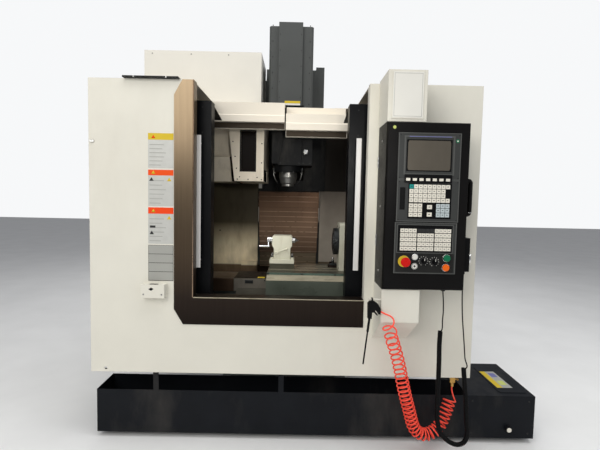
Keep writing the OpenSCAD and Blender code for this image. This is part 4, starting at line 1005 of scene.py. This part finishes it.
def set_world():
    """A soft light from all round, and a pale backdrop that only the camera sees."""
    world = scene.world or bpy.data.worlds.new("world")
    scene.world = world
    world.use_nodes = True
    tree = world.node_tree
    light = tree.nodes["Background"]
    fill(light, {"Color": WORLD_LIGHT, "Strength": WORLD_STRENGTH})
    backdrop = node(tree, "ShaderNodeBackground", Color=BACKDROP)
    path = node(tree, "ShaderNodeLightPath")
    choice = node(tree, "ShaderNodeMixShader")
    tree.links.new(path.outputs["Is Camera Ray"], choice.inputs["Fac"])
    tree.links.new(light.outputs["Background"], choice.inputs[1])
    tree.links.new(backdrop.outputs["Background"], choice.inputs[2])
    tree.links.new(choice.outputs["Shader"], tree.nodes["World Output"].inputs["Surface"])


def set_floor():
    material, tree, shader = new_material("floor")
    tree.links.new(ramp(tree, noise(tree, 2.0), FLOOR_TONES), shader.inputs["Base Color"])
    shader.inputs["Roughness"].default_value = 0.6
    bpy.ops.mesh.primitive_plane_add(size=FLOOR_SIZE)
    floor = bpy.context.object
    floor.name = "floor"
    floor.data.materials.append(material)


def lamp(name, kind, at, aim, power, color):
    """A new lamp at a place, turned to another, both in metres."""
    light = bpy.data.lights.new(name, kind)
    light.energy = power
    light.color = color
    made = add(name, light)
    made.location = at
    made.rotation_euler = (Vector(aim) - Vector(at)).to_track_quat("-Z", "Y").to_euler()
    return light


def set_lamps():
    """Four soft areas round the machine, and two soft spots into the opening."""
    for name, at, aim, size, power, color in (
            ("roof_light", (0.3, -1.2, 5.2), (0, -0.3, 0.8), (5.0, 4.0), 180, (1, 1, 1)),
            ("front_light", (-2.2, -4.6, 3.2), (0, 0, 1.1), (3.0, 2.5), 106, (1, 0.98, 0.94)),
            ("right_light", (4.2, -2.6, 2.6), (0.4, 0, 1.0), (2.5, 2.5), 30, (0.95, 0.98, 1)),
            ("rear_light", (0, 4.6, 3.6), (0, 0.6, 1.0), (4.0, 2.5), 60, (1, 1, 1))):
        area = lamp(name, "AREA", at, aim, power, color)
        area.shape = "RECTANGLE"
        area.size, area.size_y = size
    for name, aim, cone, power in (("opening_light", (-0.2, 0, 1.45), 27, 95),
                                   ("wall_light", (-0.57, 0.2585, 0.95), 9, 200)):
        spot = lamp(name, "SPOT", SPOTS_AT, aim, power, SPOT_COLOR)
        spot.spot_size = math.radians(cone)
        spot.spot_blend = 1.0
        spot.shadow_soft_size = 0.15


set_camera()
set_world()
set_floor()
set_lamps()


# Cords
def smooth(points, parts):
    """A smooth curve through points given in millimetres, with so many parts between two."""
    line = [place(*point) for point in points]
    last = len(line) - 1
    curve = []
    for i in range(last):
        a, b, c, d = line[max(i - 1, 0)], line[i], line[i + 1], line[min(i + 2, last)]
        for j in range(parts):
            t = j / parts
            curve.append(0.5 * (2 * b + (c - a) * t + (2 * a - 5 * b + 4 * c - d) * t * t
                                + (3 * b - a - 3 * c + d) * t * t * t))
    return curve + [line[-1]]


def resample(line, gap):
    """Points along a line at even gaps."""
    even, left = [line[0]], gap
    for a, b in zip(line, line[1:]):
        length = (b - a).length
        at = 0.0
        while length - at >= left:
            at += left
            even.append(a.lerp(b, at / length))
            left = gap
        left -= length - at
    return even


def length_of(line):
    return sum((b - a).length for a, b in zip(line, line[1:]))


def coil(route, radius, turns, per_turn, loose, phase):
    """A helix round a route; loose spreads its first turns."""
    line = resample(route, length_of(route) / (turns * per_turn * (1 + loose)))
    last = len(line) - 1
    helix, u = [], None
    for i, at in enumerate(line):
        ahead = (line[min(i + 1, last)] - line[max(i - 1, 0)]).normalized()
        if u is None:
            u = ahead.cross(Vector((0, 1, 0))).normalized()
        u = (u - ahead * u.dot(ahead)).normalized()
        w = ahead.cross(u)
        s = i / last
        slack = loose * 0.28 * (1 - math.exp(-s / 0.28)) * (1 - s)
        angle = 2 * math.pi * turns * (s - slack) + phase
        helix.append(at + (u * math.cos(angle) + w * math.sin(angle)) * radius)
    return helix


def join(a, leave, b, reach, parts, pull):
    """The points between two ends that leave a and reach b in given directions."""
    size = (b - a).length * pull
    leave, reach = leave.normalized() * size, reach.normalized() * size
    between = []
    for i in range(1, parts):
        t = i / parts
        between.append(a * (2 * t ** 3 - 3 * t * t + 1) + leave * (t ** 3 - 2 * t * t + t)
                       + b * (3 * t * t - 2 * t ** 3) + reach * (t ** 3 - t * t))
    return between


def cord(name, line, diameter, material, nodes, far_end, stiffness, **more):
    """A round cord along a line, on the machine, in place of its nodes of the construction."""
    curve = bpy.data.curves.new(name, "CURVE")
    curve.dimensions = "3D"
    curve.bevel_depth = diameter / 2
    curve.bevel_resolution = 3
    curve.use_fill_caps = True
    spline = curve.splines.new("POLY")
    spline.points.add(len(line) - 1)
    for point, at in zip(spline.points, line):
        point.co = (*at, 1)
    spline.use_smooth = True
    curve.materials.append(material)
    made = add(name, curve)
    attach(made, "machine")
    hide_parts(*nodes)


# The air hose: a coil that hangs in a bow from the gun to the brass fitting
HOSE_ROUTE = [(516, -256, 790), (536, -240, 735), (560, -208, 662), (578, -182, 620),
              (612, -158, 515), (650, -130, 371), (686, -110, 253), (722, -92, 148),
              (770, -78, 104), (824, -66, 106), (872, -54, 142), (911, -38, 219), (934, -25, 276)]
HOSE_GUN, HOSE_FITTING = (494, -223, 812), (964, 31, 323)
HOSE_DIAMETER, HOSE_RADIUS, HOSE_TURNS = 0.0078, 0.031, 36.6
HOSE_LOOSE, HOSE_PHASE = 0.75, 4.974


def air_hose():
    gun, fitting = place(*HOSE_GUN), place(*HOSE_FITTING)
    turns = coil(smooth(HOSE_ROUTE, 16), HOSE_RADIUS, HOSE_TURNS, 14, HOSE_LOOSE, HOSE_PHASE)
    start = join(gun, Vector((0.8, -0.2, -0.3)), turns[0], turns[1] - turns[0], 8, 1.1)
    end = join(turns[-1], turns[-1] - turns[-2], fitting, Vector((0.45, 0.75, 0.5)), 12, 1.2)
    line = [gun] + start + turns + end + [fitting]
    cord("air_hose", line[::-1], HOSE_DIAMETER, HOSE, ("air_hose_coil", "air_hose_leads"), "tool",
         "medium", with_pieces=[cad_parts["air_gun"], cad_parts["gun_trigger"]])


# The pendant's curly cord: a plain lead down from the control, tight turns through the loop at
# the foot, and a plain lead up to the pendant; each place is its X and Z
DOWN_ROUTE = [(824, 906), (829, 850), (831, 800), (829, 755)]
CURL_ROUTE = [(820, 696), (818, 620), (820, 540), (821, 384), (822, 300), (826, 214), (846, 152),
              (884, 112), (930, 92), (968, 104), (984, 150), (978, 220), (968, 333), (958, 420),
              (949, 504)]
UP_ROUTE = [(953, 560), (944, 650), (930, 780), (924, 900), (923, 995)]
CORD_DIAMETER, CURL_RADIUS, CURL_TURNS = 0.0062, 0.0095, 168.92
CURL_PHASE = 2.36


def pendant_cord():
    down, curl, up = (smooth([(x, PENDANT_MIDDLE, z) for x, z in route], parts)
                      for route, parts in ((DOWN_ROUTE, 8), (CURL_ROUTE, 12), (UP_ROUTE, 8)))
    turns = coil(curl, CURL_RADIUS, CURL_TURNS, 12, 0, CURL_PHASE)
    start = join(down[-1], down[-1] - down[-2], turns[0], turns[1] - turns[0], 10, 1.2)
    end = join(turns[-1], turns[-1] - turns[-2], up[0], up[1] - up[0], 10, 1.4)
    cord("pendant_cord", down + start + turns + end + up, CORD_DIAMETER, CORD,
         ("pendant_cord_coils", "pendant_cord_leads"), "object", "limp")


air_hose()
pendant_cord()
